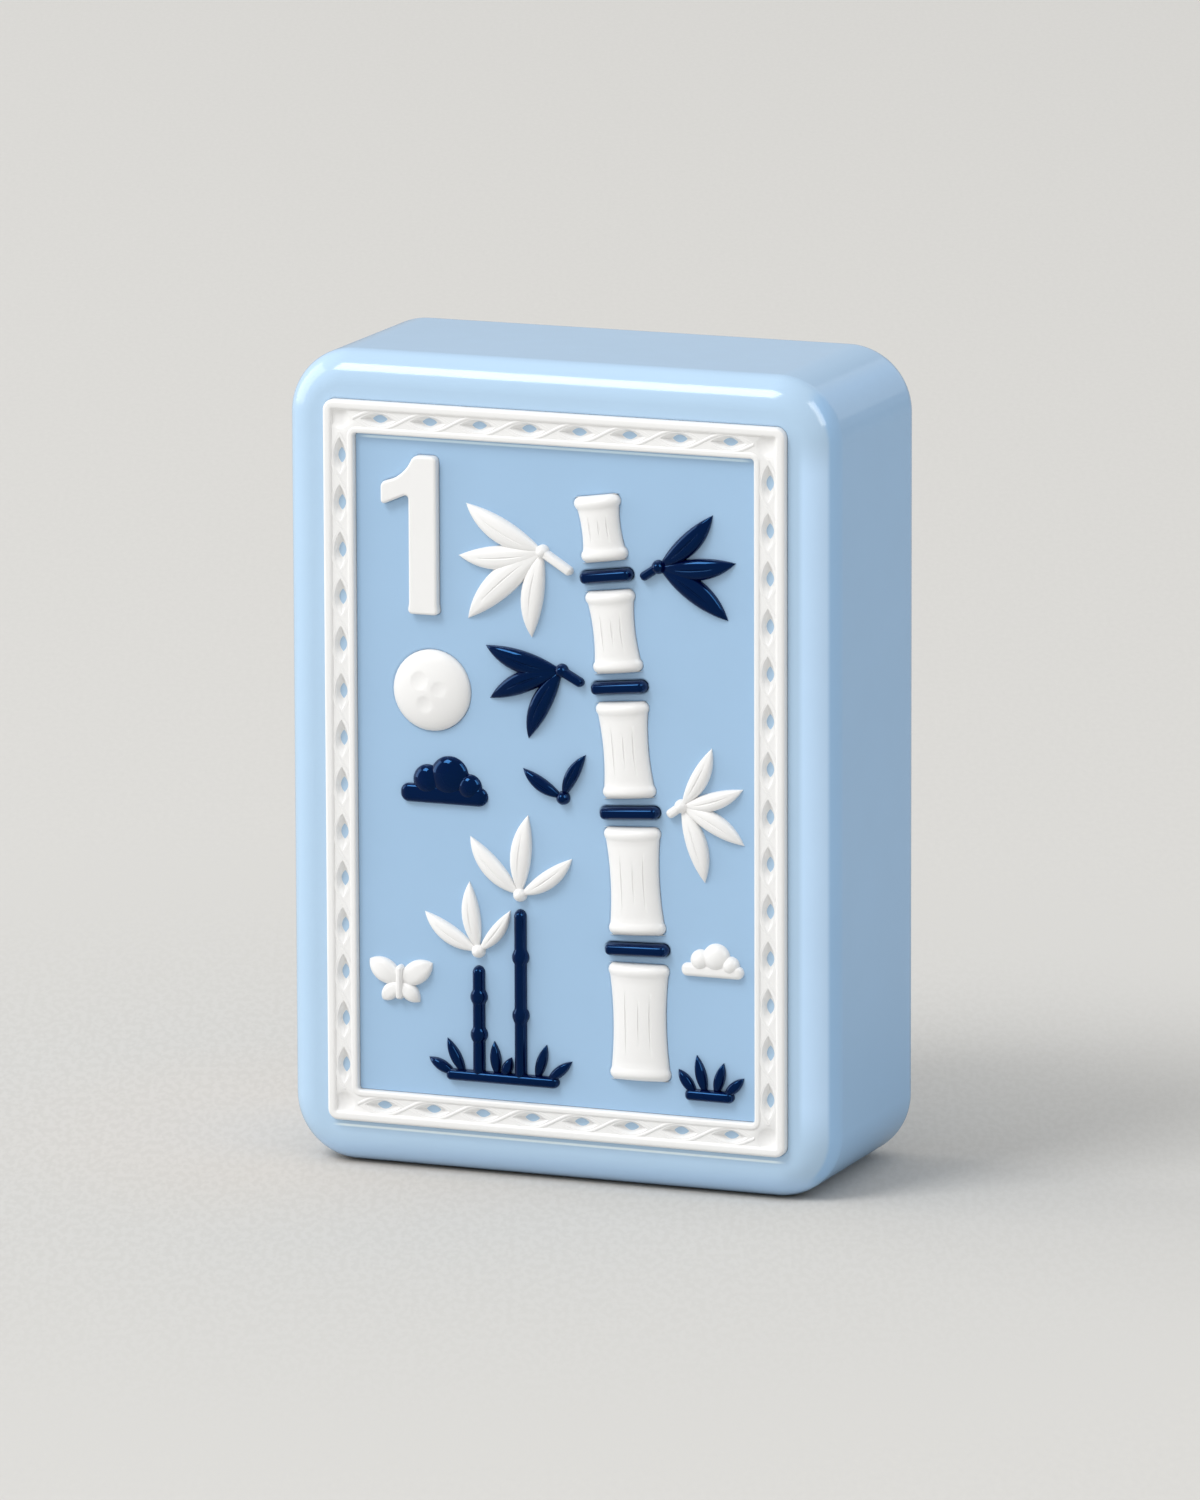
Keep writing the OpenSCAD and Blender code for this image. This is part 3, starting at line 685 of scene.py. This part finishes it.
def eyelet(levels):
    """A pointed oval block, wider or narrower at each of its levels"""
    radius = arc_radius(EYELET_L, EYELET_W / 2)
    (low, along, across), (high, *_) = levels[:2]
    rounds = []
    for side in (1, -1):
        bpy.ops.object.select_all(action="DESELECT")
        bpy.ops.mesh.primitive_cylinder_add(vertices=80, radius=radius, depth=high - low,
                                            location=(0, -(low + high) / 2, side * (radius - EYELET_W / 2)),
                                            rotation=(math.pi / 2, 0, 0))
        rounds.append(bpy.context.object)
        settle(rounds[-1])
    piece = rounds[0]
    cut(piece, rounds[1], "INTERSECT")
    edit(piece)
    bpy.ops.mesh.select_all(action="SELECT")
    bpy.ops.transform.resize(value=(along, 1, across), center_override=(0, 0, 0))
    pick(piece, "faces", lambda f: f.normal.y < -0.9)
    last = levels[0]
    for level in levels[1:]:
        if last != levels[0]:
            bpy.ops.mesh.extrude_region_move(TRANSFORM_OT_translate={"value": (0, last[0] - level[0], 0)})
        bpy.ops.transform.resize(value=(level[1] / last[1], 1, level[2] / last[2]), center_override=(0, 0, 0))
        last = level
    outwards()
    bpy.ops.mesh.quads_convert_to_tris()
    finish_edit()
    return piece


def along_sides(make):
    """Copies of a piece made for each length, on the four sides of the border"""
    found = []
    for length, far, turn in ((2 * PANEL_X, BORDER_Z / 2 - CHANNEL_MID, 0),
                              (2 * PANEL_Z, BORDER_X / 2 - CHANNEL_MID, 90)):
        first = make(length)
        second = first.copy()
        second.data = first.data.copy()
        bpy.context.scene.collection.objects.link(second)
        for piece, side in ((first, 1), (second, -1)):
            u, v = (0, side * far) if turn == 0 else (side * far, 0)
            found.append(on_face(piece, u, v, turn))
    return found


def eyelet_row(length, levels):
    count = lace_cells(length)
    pitch = length / count
    first = eyelet(levels)
    only(first)
    first.location.x = pitch / 2 - length / 2
    settle(first)
    step = first.modifiers.new("row", "ARRAY")
    step.count = count
    step.use_relative_offset = False
    step.use_constant_offset = True
    step.constant_offset_displace = (pitch, 0, 0)
    bpy.ops.object.modifier_apply(modifier=step.name)
    return first


def lace_border():
    border = band()
    for tool in along_sides(lambda length: eyelet_row(length, EYELET_LEVELS)):
        cut(border, tool, "DIFFERENCE")
    for side, upright in ((-1, -1), (-1, 1), (1, -1), (1, 1)):
        hollow(border, side * (BORDER_X / 2 - CHANNEL_MID), upright * (BORDER_Z / 2 - CHANNEL_MID), BAND_RISE,
               CORNER_HOLLOW, CORNER_HOLLOW_R)
    strands = [piece for phase in (1, -1) for piece in along_sides(lambda length: strand(length, phase))]
    inner = BORDER_W - INNER_RAIL_W
    outer_rail = rail(BORDER_X / 2, BORDER_Z / 2, OUTER_RAIL_R, OUTER_RAIL_W, RELIEF)
    inner_rail = rail(BORDER_X / 2 - inner, BORDER_Z / 2 - inner, INNER_RAIL_R, INNER_RAIL_W, INNER_RAIL_RISE)
    return joined("lace", [border, outer_rail, inner_rail] + strands)


# Numeral

def numeral():
    piece = floor_faces("numeral_one")
    bpy.ops.mesh.select_all(action="SELECT")
    bpy.ops.mesh.extrude_region_move(TRANSFORM_OT_translate={"value": (0, -SEAT - RELIEF, 0)})
    outwards()
    pick(piece, "edges", lambda e: is_top_rim(e, FACE_Y - RELIEF))
    round_off(NUMERAL_EDGE, 5, "EDGES")
    finish_edit()
    piece.name = "numeral"
    smooth(piece, 40)
    return piece


# Cane

def segment_start(i):
    return SEGMENTS_L * sum(SEGMENT_SHARES[:i]) + i * JOINT_H


def ring_middle(i):
    return segment_start(i + 1) - JOINT_H / 2


def cane_width(s):
    return CANE_LOW_W + (CANE_TOP_W - CANE_LOW_W) * s / CANE_L


def cane_point(s):
    turn = s / CANE_BOW_R
    return (CANE_FOOT_X + CANE_BOW_R * (math.cos(turn) - 1),
            CANE_BELOW - PANEL_Z + CANE_BOW_R * math.sin(turn))


def on_cane(piece, s, turn=90):
    u, v = cane_point(s)
    return on_face(piece, u, v, turn + math.degrees(s / CANE_BOW_R))


def segment_half(x, length, width):
    """Half width of a segment: drawn in at the waist, with a rounded lip at each end"""
    waist_r = arc_radius(length, WAIST)
    half = width / 2 - WAIST + waist_r - math.sqrt(waist_r ** 2 - x ** 2)
    from_lip = abs(abs(x) - (length - LIP_H) / 2)
    if from_lip < LIP_H / 2:
        lip = width / 2 - LIP_H / 2 + math.sqrt((LIP_H / 2) ** 2 - from_lip ** 2)
        half = lip if abs(x) > (length - LIP_H) / 2 else max(half, lip)
    return half


def flute(length, width, share, run):
    """A thin round tool along a segment, at a share of its half width and for a share of its length"""
    stations = []
    for k in range(13):
        x = (length / 2 - LIP_H) * run * (k / 6 - 1)
        thin = max(math.sin(math.pi * k / 12), 0.15) * FLUTE_W / 2
        crest = CANE_RISE * math.sqrt(1 - share ** 2)
        stations.append((x, share * segment_half(x, length, width), thin, thin, crest + FLUTE_W * 0.1))
    return strip(stations, seated=False, ring=TOOL_SIDES)


def segment(i):
    length = SEGMENTS_L * SEGMENT_SHARES[i]
    middle = segment_start(i) + length / 2
    width = cane_width(middle)
    ends = [length / 2 - LIP_H / 2 * (1 - math.sin(math.pi / 2 * k / 6)) for k in range(6, 0, -1)]
    lips = [length / 2 - LIP_H / 2 - LIP_H / 2 * k / 4 for k in range(5)]
    inner = [(length / 2 - LIP_H) * k / 6 for k in range(5, 0, -1)]
    right = ends + lips + inner
    places = [-x for x in right] + [0] + right[::-1]
    stations = []
    for x in places:
        near = max(0, 1 - abs(abs(x) - (length - LIP_H) / 2) / (LIP_H / 2))
        full = math.sqrt(max(0.0, 1 - max(0, (abs(x) - (length - LIP_H) / 2) / (LIP_H / 2)) ** 2))
        rise = CANE_EDGE_RISE + (CANE_RISE - CANE_EDGE_RISE) * full
        rise += CANE_LIP_RISE * math.sin(math.pi / 2 * near)
        stations.append((x, 0, segment_half(x, length, width), rise, 0))
    piece = strip(stations, ring=CANE_RING_SIDES)
    for share, run in FLUTES:
        cut(piece, flute(length, width, share, run), "DIFFERENCE")
    piece.name = f"segment_{i + 1}"
    return on_cane(piece, middle)


def cane_ring(i):
    s = ring_middle(i)
    piece = round_bar(cane_width(s) + 2 * RING_REACH, RING_H, RELIEF + CROWN * 0.8)
    piece.name = f"ring_{i + 1}"
    return on_cane(piece, s, 0)


# Leaves

def leaf(share, bend):
    """A leaf with a groove along it"""
    size = (LEAF_L * share, LEAF_W * share, bend, LEAF_RISE * share ** 0.3)
    piece = blade(*size)
    cut(piece, vein(*size), "DIFFERENCE")
    return piece


def spray(name, leaves, u, v, extra=()):
    """Leaves round a knot"""
    parts = [on_face(leaf(share, bend), u, v, angle) for angle, share, bend in leaves]
    parts.append(on_face(dome(KNOT_R, LEAF_RISE), u, v))
    return joined(name, parts + list(extra))


def cane_spray(node):
    (ring, angle, share), leaves = CANE_SPRAYS[node]
    s = ring_middle(ring)
    u, v = cane_point(s)
    turn = math.radians(angle)
    side = 1 if math.cos(turn) > 0 else -1
    u += side * (cane_width(s) / 2 + RING_REACH + TWIG_GAP) + share * LEAF_L * math.cos(turn)
    v += share * LEAF_L * math.sin(turn)
    length = share * LEAF_L + TWIG_W / 2
    back = turn + math.pi
    reach = length / 2 - TWIG_W / 2
    twig = on_face(round_bar(length, TWIG_W, LEAF_RISE * 0.8), u + reach * math.cos(back),
                   v + reach * math.sin(back), math.degrees(back))
    return spray("spray" + node[6:], leaves, u, v, [twig])


def shoot_spray(name, leaves, foot, height):
    u, v = place("mound")
    return spray(name, leaves, u + foot * MOUND_W / 2, v + height + SHOOT_GAP + KNOT_R)


# Ground

def grass_parts(where, width, blades):
    u, v = place(where)
    parts = [on_face(round_bar(width, GROUND_H, RELIEF), u, v)]
    for along, angle, share in blades:
        tip = blade(GRASS_L * share, GRASS_W, 0, RELIEF * 0.9)
        parts.append(on_face(tip, u + along * (width - GROUND_H) / 2, v, angle))
    return parts


def stem(height, foot):
    """A young shoot's stem with a swelling at each of its joints"""
    places = [height * k / 60 for k in range(1, 60)]
    stations = []
    for x in [HAIR] + places + [height - HAIR]:
        end = min(x, height - x)
        half = SHOOT_W / 2
        if end < half:
            half = max(math.sqrt(half ** 2 - (half - end) ** 2), HAIR)
        for share in SWELLINGS:
            off = abs(x - share * height)
            if off < SHOOT_KNOT_R:
                half = max(half, math.sqrt(SHOOT_KNOT_R ** 2 - off ** 2))
        stations.append((x, 0, half, RELIEF * 1.1 * min(1.15, 2 * half / SHOOT_W), 0))
    u, v = place("mound")
    return on_face(strip(stations, ring=RING), u + foot * MOUND_W / 2, v, 90)


def shoots():
    parts = grass_parts("mound", MOUND_W, MOUND_GRASS)
    return joined("shoots", parts + [stem(SHOOT_TALL, TALL_FOOT), stem(SHOOT_SHORT, SHORT_FOOT)])


def tuft():
    return joined("tuft", grass_parts("tuft", TUFT_W, TUFT_GRASS))


# Sky

def cloud(where, width):
    u, v = place(where)
    base = CLOUD_BASE * width
    parts = [on_face(round_bar(width, base, RELIEF * 0.8), u, v - base / 2)]
    for across, up, share in CLOUD_LUMPS:
        lump = dome(share * width, RELIEF + CROWN * share * 2)
        parts.append(on_face(lump, u + across * width, v + up * width))
    return joined(where + "_piece", parts)


def moon():
    u, v = place("moon")
    rise = RELIEF + CROWN * 0.9
    piece = on_face(dome(MOON_R, rise), u, v)
    for across, up, depth in MOON_HOLLOWS:
        crest = rise * math.sqrt(1 - across ** 2 - up ** 2)
        hollow(piece, u + across * MOON_R, v + up * MOON_R, crest, depth * MM, MOON_HOLLOW_R)
    piece.name = "moon_disc"
    return piece


def butterfly():
    u, v = place("butterfly")
    parts = []
    for angle, share in WINGS:
        parts.append(on_face(blade(WING_L * share, WING_W * share, 0, RELIEF), u, v, angle))
    parts.append(on_face(round_bar(INSECT_L, INSECT_W, RELIEF * 1.2), u, v, 90))
    return joined("butterfly_piece", parts)


# Finishes

def finish_nodes(name):
    finish = bpy.data.materials.new(name)
    finish.use_nodes = True
    tree = finish.node_tree
    return finish, tree, tree.nodes["Principled BSDF"]


def place_in(tree):
    return tree.nodes.new("ShaderNodeTexCoord").outputs["Object"]


def axes(tree):
    parts = tree.nodes.new("ShaderNodeSeparateXYZ")
    tree.links.new(place_in(tree), parts.inputs["Vector"])
    return parts.outputs


def noise(tree, scale, detail=3.0, vector=None):
    texture = tree.nodes.new("ShaderNodeTexNoise")
    texture.inputs["Scale"].default_value = scale
    texture.inputs["Detail"].default_value = detail
    tree.links.new(vector or place_in(tree), texture.inputs["Vector"])
    return texture.outputs["Fac"]


def tinted(tree, fac, low, high):
    ramp = tree.nodes.new("ShaderNodeValToRGB")
    for element, position, colour in zip(ramp.color_ramp.elements, NOISE_SPAN, (low, high)):
        element.position = position
        element.color = colour
    tree.links.new(fac, ramp.inputs["Fac"])
    return ramp.outputs["Color"]


def ranged(tree, fac, low, high):
    span = tree.nodes.new("ShaderNodeMapRange")
    span.inputs["From Min"].default_value = NOISE_SPAN[0]
    span.inputs["From Max"].default_value = NOISE_SPAN[1]
    span.inputs["To Min"].default_value = low
    span.inputs["To Max"].default_value = high
    tree.links.new(fac, span.inputs["Value"])
    return span.outputs["Result"]


def shade(colour, factor):
    return tuple(c * factor for c in colour) + (1,)


def between(tree, value, start, end):
    """0 up to start, 1 from end on, and smooth between"""
    span = tree.nodes.new("ShaderNodeMapRange")
    span.interpolation_type = "SMOOTHSTEP"
    span.inputs["From Min"].default_value = start
    span.inputs["From Max"].default_value = end
    tree.links.new(value, span.inputs["Value"])
    return span.outputs["Result"]


def worked(tree, operation, first, second=None):
    step = tree.nodes.new("ShaderNodeMath")
    step.operation = operation
    for socket, value in zip(step.inputs, (first, second)):
        if isinstance(value, (int, float)):
            socket.default_value = value
        elif value is not None:
            tree.links.new(value, socket)
    return step.outputs["Value"]


def tint(tree, base, mask, colour):
    """Multiplies a colour where the mask is 1"""
    mix = tree.nodes.new("ShaderNodeMix")
    mix.data_type = "RGBA"
    mix.blend_type = "MULTIPLY"
    mix.inputs["B"].default_value = colour + (1,)
    tree.links.new(mask, mix.inputs["Factor"])
    tree.links.new(base, mix.inputs["A"])
    return mix.outputs["Result"]


def inverse(tree, value):
    return worked(tree, "SUBTRACT", 1, value)


def body_painted_light(tree, base):
    """Painted light and shade: paler margins, top and bottom, painted highlights on the rims and down the
    right edge, and painted shade that makes the right side bluer
    """
    where = axes(tree)
    across = worked(tree, "ABSOLUTE", where["X"])
    along = worked(tree, "ABSOLUTE", worked(tree, "SUBTRACT", where["Z"], TILE_H / 2))
    aside = between(tree, across, PANEL_X + BORDER_W * 0.1, PANEL_X + BORDER_W * 0.4)
    above = between(tree, along, PANEL_Z + BORDER_W * 0.1, PANEL_Z + BORDER_W * 0.4)
    back = between(tree, where["Y"], FACE_Y + EDGE_R * 0.55, FACE_Y + EDGE_R * 1.1)
    past_edge = between(tree, where["Y"], FACE_Y + EDGE_R * 0.3, FACE_Y + EDGE_R * 0.44)
    # Painted shade: the right side is painted darker and bluer
    right = between(tree, where["X"], TILE_W / 2 - EDGE_R, TILE_W / 2 - EDGE_R * 0.5)
    side = worked(tree, "MULTIPLY", right, past_edge)
    # Painted light: the margins round the border are painted paler
    margin = worked(tree, "MULTIPLY", worked(tree, "MAXIMUM", aside, above),
                    inverse(tree, worked(tree, "MAXIMUM", back, side)))
    # Painted highlight: a pale band down the right front edge
    upright = inverse(tree, between(tree, along, TILE_H / 2 - CORNER_R * 1.5, TILE_H / 2 - CORNER_R * 0.8))
    edge = worked(tree, "MULTIPLY",
                  between(tree, where["X"], TILE_W / 2 - EDGE_R * 1.1, TILE_W / 2 - EDGE_R * 0.88),
                  worked(tree, "MULTIPLY", upright, inverse(tree, past_edge)))
    # Painted highlights: pale lines on the pockets' rims under the border and under its upper inner rail
    rims = []
    for level, reach in ((TILE_H / 2 - BORDER_Z / 2 - BORDER_RIM, BORDER_X / 2),
                         (TILE_H / 2 + PANEL_Z - PANEL_RIM, PANEL_X)):
        off = worked(tree, "ABSOLUTE", worked(tree, "SUBTRACT", where["Z"], level))
        rims.append(worked(tree, "MULTIPLY", inverse(tree, between(tree, off, RIM_W * 0.2, RIM_W * 0.6)),
                           inverse(tree, between(tree, across, reach - BORDER_W * 0.5, reach))))
    rim = worked(tree, "MULTIPLY", worked(tree, "ADD", *rims), inverse(tree, back))
    # Painted light: the top is painted paler
    top = worked(tree, "MULTIPLY", back,
                 between(tree, where["Z"], TILE_H - EDGE_R * 0.5, TILE_H - EDGE_R * 0.1))
    # Painted light: the margin at the bottom edge is painted paler still
    low = worked(tree, "MULTIPLY", margin, inverse(tree, between(tree, where["Z"], EDGE_R * 0.3, EDGE_R)))
    for mask, colour in ((margin, MARGIN_PAINTED_LIGHT), (side, SIDE_PAINTED_SHADE), (edge, EDGE_PAINTED_HIGHLIGHT), (top, TOP_PAINTED_LIGHT),
                         (low, LOW_PAINTED_LIGHT), (rim, RIM_PAINTED_HIGHLIGHT)):
        base = tint(tree, base, mask, colour)
    return base


def bump(tree, height, depth):
    step = tree.nodes.new("ShaderNodeBump")
    step.inputs["Strength"].default_value = 0.5
    step.inputs["Distance"].default_value = depth
    tree.links.new(height, step.inputs["Height"])
    return step


def plastic(name, colour, spread, gloss, roughness, ripple, grain, painted_light=None, gloss_colour=(1, 1, 1)):
    """Moulded plastic: a faint cloudiness, uneven gloss, a slow ripple and a fine grain"""
    finish, tree, shader = finish_nodes(name)
    cloudy = noise(tree, 260, 4)
    base = tinted(tree, cloudy, shade(colour, 1 - spread), shade(colour, 1 + spread))
    # Painted light and shade on the colour, where given
    if painted_light:
        base = painted_light(tree, base)
    tree.links.new(base, shader.inputs["Base Color"])
    uneven = noise(tree, 900, 3)
    tree.links.new(ranged(tree, uneven, *roughness), shader.inputs["Roughness"])
    slow = bump(tree, noise(tree, 420, 1), ripple)
    fine = bump(tree, noise(tree, 9000, 2), grain)
    tree.links.new(slow.outputs["Normal"], fine.inputs["Normal"])
    tree.links.new(fine.outputs["Normal"], shader.inputs["Normal"])
    shader.inputs["IOR"].default_value = 1.49
    shader.inputs["Specular IOR Level"].default_value = gloss
    shader.inputs["Specular Tint"].default_value = gloss_colour + (1,)
    return finish


# The blue body gets painted light and shade on its colour
BLUE = plastic("blue_plastic", (0.365, 0.55, 0.765), 0.012, 0.5, (0.11, 0.16), 0.004 * MM, 0.0006 * MM,
               body_painted_light)
WHITE = plastic("white_plastic", (0.875, 0.872, 0.864), 0.008, 0.5, (0.34, 0.42), 0.006 * MM, 0.0012 * MM)
NAVY = plastic("navy_plastic", (0.0002, 0.0024, 0.03), 0.12, 0.9, (0.04, 0.08), 0.004 * MM, 0.0008 * MM,
               gloss_colour=(0.07, 0.32, 0.8))


def seen_share(tree):
    """1, or a lesser share where the room is seen in a reflection"""
    path = tree.nodes.new("ShaderNodeLightPath")
    span = tree.nodes.new("ShaderNodeMapRange")
    span.inputs["To Min"].default_value = 1
    span.inputs["To Max"].default_value = REFLECTED_SHARE
    tree.links.new(path.outputs["Is Glossy Ray"], span.inputs["Value"])
    return span.outputs["Result"]


def floor_finish():
    finish, tree, shader = finish_nodes("paper")
    drawn = tree.nodes.new("ShaderNodeMapping")
    drawn.vector_type = "TEXTURE"
    drawn.inputs["Rotation"].default_value = (0, 0, CAMERA_TURN)
    drawn.inputs["Scale"].default_value = (1, 3, 1)
    tree.links.new(place_in(tree), drawn.inputs["Vector"])
    grain = noise(tree, 4200, 3, drawn.outputs["Vector"])
    colour = tinted(tree, grain, (0.596, 0.587, 0.565, 1), (0.612, 0.603, 0.58, 1))
    where = axes(tree)
    away = tree.nodes.new("ShaderNodeVectorMath")
    away.operation = "DISTANCE"
    away.inputs[1].default_value = (-TILE_W / 2, TILE_MIDDLE.y, 0)
    tree.links.new(place_in(tree), away.inputs[0])
    close = inverse(tree, between(tree, away.outputs["Value"], TILE_T, GRAIN_REACH))
    speckle = worked(tree, "MULTIPLY", between(tree, grain, 0.38, 0.62), close)
    colour = tint(tree, colour, speckle, GRAIN_TINT)
    # Painted light: the floor round the tile's left end is painted warmer
    near = inverse(tree, between(tree, away.outputs["Value"], TILE_T / 2, TILE_T / 2 + NEAR_REACH))
    # Painted shadow: the floor in the narrow gap under the front edge is painted darker
    aside = worked(tree, "SUBTRACT", worked(tree, "ABSOLUTE", where["X"]), TILE_W / 2)
    under = inverse(tree, between(tree, aside, -CORNER_R, -CORNER_R * 0.3))
    in_front = inverse(tree, between(tree, where["Y"], FACE_Y + EDGE_R, FACE_Y + 2 * EDGE_R))
    deep = between(tree, where["Y"], FACE_Y - EDGE_R * 0.2, FACE_Y + EDGE_R * 0.6)
    gap = worked(tree, "MULTIPLY", worked(tree, "MULTIPLY", under, deep), in_front)
    colour = tint(tree, tint(tree, colour, near, NEAR_PAINTED_WARM_LIGHT), gap, GAP_PAINTED_SHADOW)
    dimmed = tree.nodes.new("ShaderNodeVectorMath")
    dimmed.operation = "SCALE"
    tree.links.new(colour, dimmed.inputs[0])
    tree.links.new(seen_share(tree), dimmed.inputs["Scale"])
    tree.links.new(dimmed.outputs["Vector"], shader.inputs["Base Color"])
    shader.inputs["Roughness"].default_value = 0.9
    shader.inputs["Specular IOR Level"].default_value = 0.1
    return finish


# Assembly

def fit(piece, finish, slot, *nodes):
    """Gives a finished piece its finish and its body, and hides the solids that it stands for"""
    piece.data.materials.clear()
    piece.data.materials.append(finish)
    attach(piece, "root")
    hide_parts(*nodes)


for index in range(len(SEGMENT_SHARES)):
    fit(soft(segment(index)), WHITE, "inlay_white", f"cane_segment_{index + 1}")
for index in range(RING_COUNT):
    fit(soft(cane_ring(index)), NAVY, "inlay_navy", f"cane_ring_{index + 1}")
for node in CANE_SPRAYS:
    dark = node in DARK_SPRAYS
    fit(soft(cane_spray(node)), NAVY if dark else WHITE, "inlay_navy" if dark else "inlay_white", node)
fit(soft(shoot_spray("tall_leaves", TALL_SHOOT_LEAVES, TALL_FOOT, SHOOT_TALL)), WHITE, "inlay_white",
    "leaves_tall_shoot")
fit(soft(shoot_spray("short_leaves", SHORT_SHOOT_LEAVES, SHORT_FOOT, SHOOT_SHORT)), WHITE, "inlay_white",
    "leaves_short_shoot")
fit(soft(spray("loose_leaves", FALLEN_LEAVES, *place("fallen_leaves"))), NAVY, "inlay_navy", "fallen_leaves")
fit(soft(shoots()), NAVY, "inlay_navy", "young_shoots")
fit(soft(tuft()), NAVY, "inlay_navy", "grass_tuft")
fit(soft(cloud("dark_cloud", DARK_CLOUD_W)), NAVY, "inlay_navy", "dark_cloud")
fit(soft(cloud("pale_cloud", PALE_CLOUD_W)), WHITE, "inlay_white", "pale_cloud")
fit(soft(moon()), WHITE, "inlay_white", "moon")
fit(soft(butterfly()), WHITE, "inlay_white", "butterfly")
fit(numeral(), WHITE, "inlay_white", "numeral_one")
fit(soft(lace_border()), WHITE, "inlay_white", "lace_border")
fit(tile_body(), BLUE, "body_blue", "body")


# Camera

def camera():
    turn, rise, roll = CAMERA_TURN, math.radians(11.4185), math.radians(-0.2031)
    distance, aside, above = 456.09 * MM, -0.106 * MM, 0.1189 * MM
    back = Vector((math.sin(turn) * math.cos(rise), -math.cos(turn) * math.cos(rise), math.sin(rise)))
    right = Vector((math.cos(turn), math.sin(turn), 0))
    up = back.cross(right)
    place_at = TILE_MIDDLE + back * distance + right * aside + up * above
    rolled_right = right * math.cos(roll) + up * math.sin(roll)
    rolled_up = up * math.cos(roll) - right * math.sin(roll)
    lens = bpy.data.cameras.new("camera")
    lens.sensor_width = 36
    lens.lens = 301.54
    lens.clip_start = 0.01
    seen = bpy.data.objects.new("camera", lens)
    bpy.context.scene.collection.objects.link(seen)
    seen.matrix_world = Matrix((rolled_right, rolled_up, back)).transposed().to_4x4()
    seen.location = place_at
    bpy.context.scene.camera = seen


# Floor and lights

def ground():
    bpy.ops.object.select_all(action="DESELECT")
    bpy.ops.mesh.primitive_plane_add(size=6)
    floor = bpy.context.object
    floor.name = "floor"
    floor.data.materials.append(floor_finish())


def softbox(name, direction, distance, width, height, power, in_gloss_only=False):
    """A lamp aimed at the tile's middle, which may show in the gloss alone"""
    lamp = bpy.data.lights.new(name, "AREA")
    lamp.shape = "RECTANGLE"
    lamp.size = width
    lamp.size_y = height
    lamp.energy = power
    piece = bpy.data.objects.new(name, lamp)
    bpy.context.scene.collection.objects.link(piece)
    towards = Vector(direction).normalized()
    piece.location = TILE_MIDDLE + towards * distance
    piece.rotation_euler = towards.to_track_quat("Z", "Y").to_euler()
    piece.visible_diffuse = not in_gloss_only


def lights():
    world = bpy.data.worlds.new("studio")
    world.use_nodes = True
    tree = world.node_tree
    strength = tree.nodes.new("ShaderNodeMath")
    strength.operation = "MULTIPLY"
    strength.inputs[1].default_value = ROOM_LIGHT
    tree.links.new(seen_share(tree), strength.inputs[0])
    tree.links.new(strength.outputs["Value"], tree.nodes["Background"].inputs["Strength"])
    tree.nodes["Background"].inputs["Color"].default_value = (1, 1, 1, 1)
    bpy.context.scene.world = world
    softbox("key", (-0.36, -0.53, 0.77), 1.5, 0.6, 0.6, 10.7)
    softbox("left", (-1, -0.1, 0.3), 1, 0.8, 0.8, 5)
    softbox("right", (0.77, -0.22, 0.62), 1.5, 0.56, 0.98, 9, in_gloss_only=True)
    softbox("back", (0.23, 0.91, 0.36), 1.5, 0.6, 0.8, 0.55, in_gloss_only=True)


camera()
ground()
lights()
bpy.context.scene.view_settings.view_transform = "Standard"
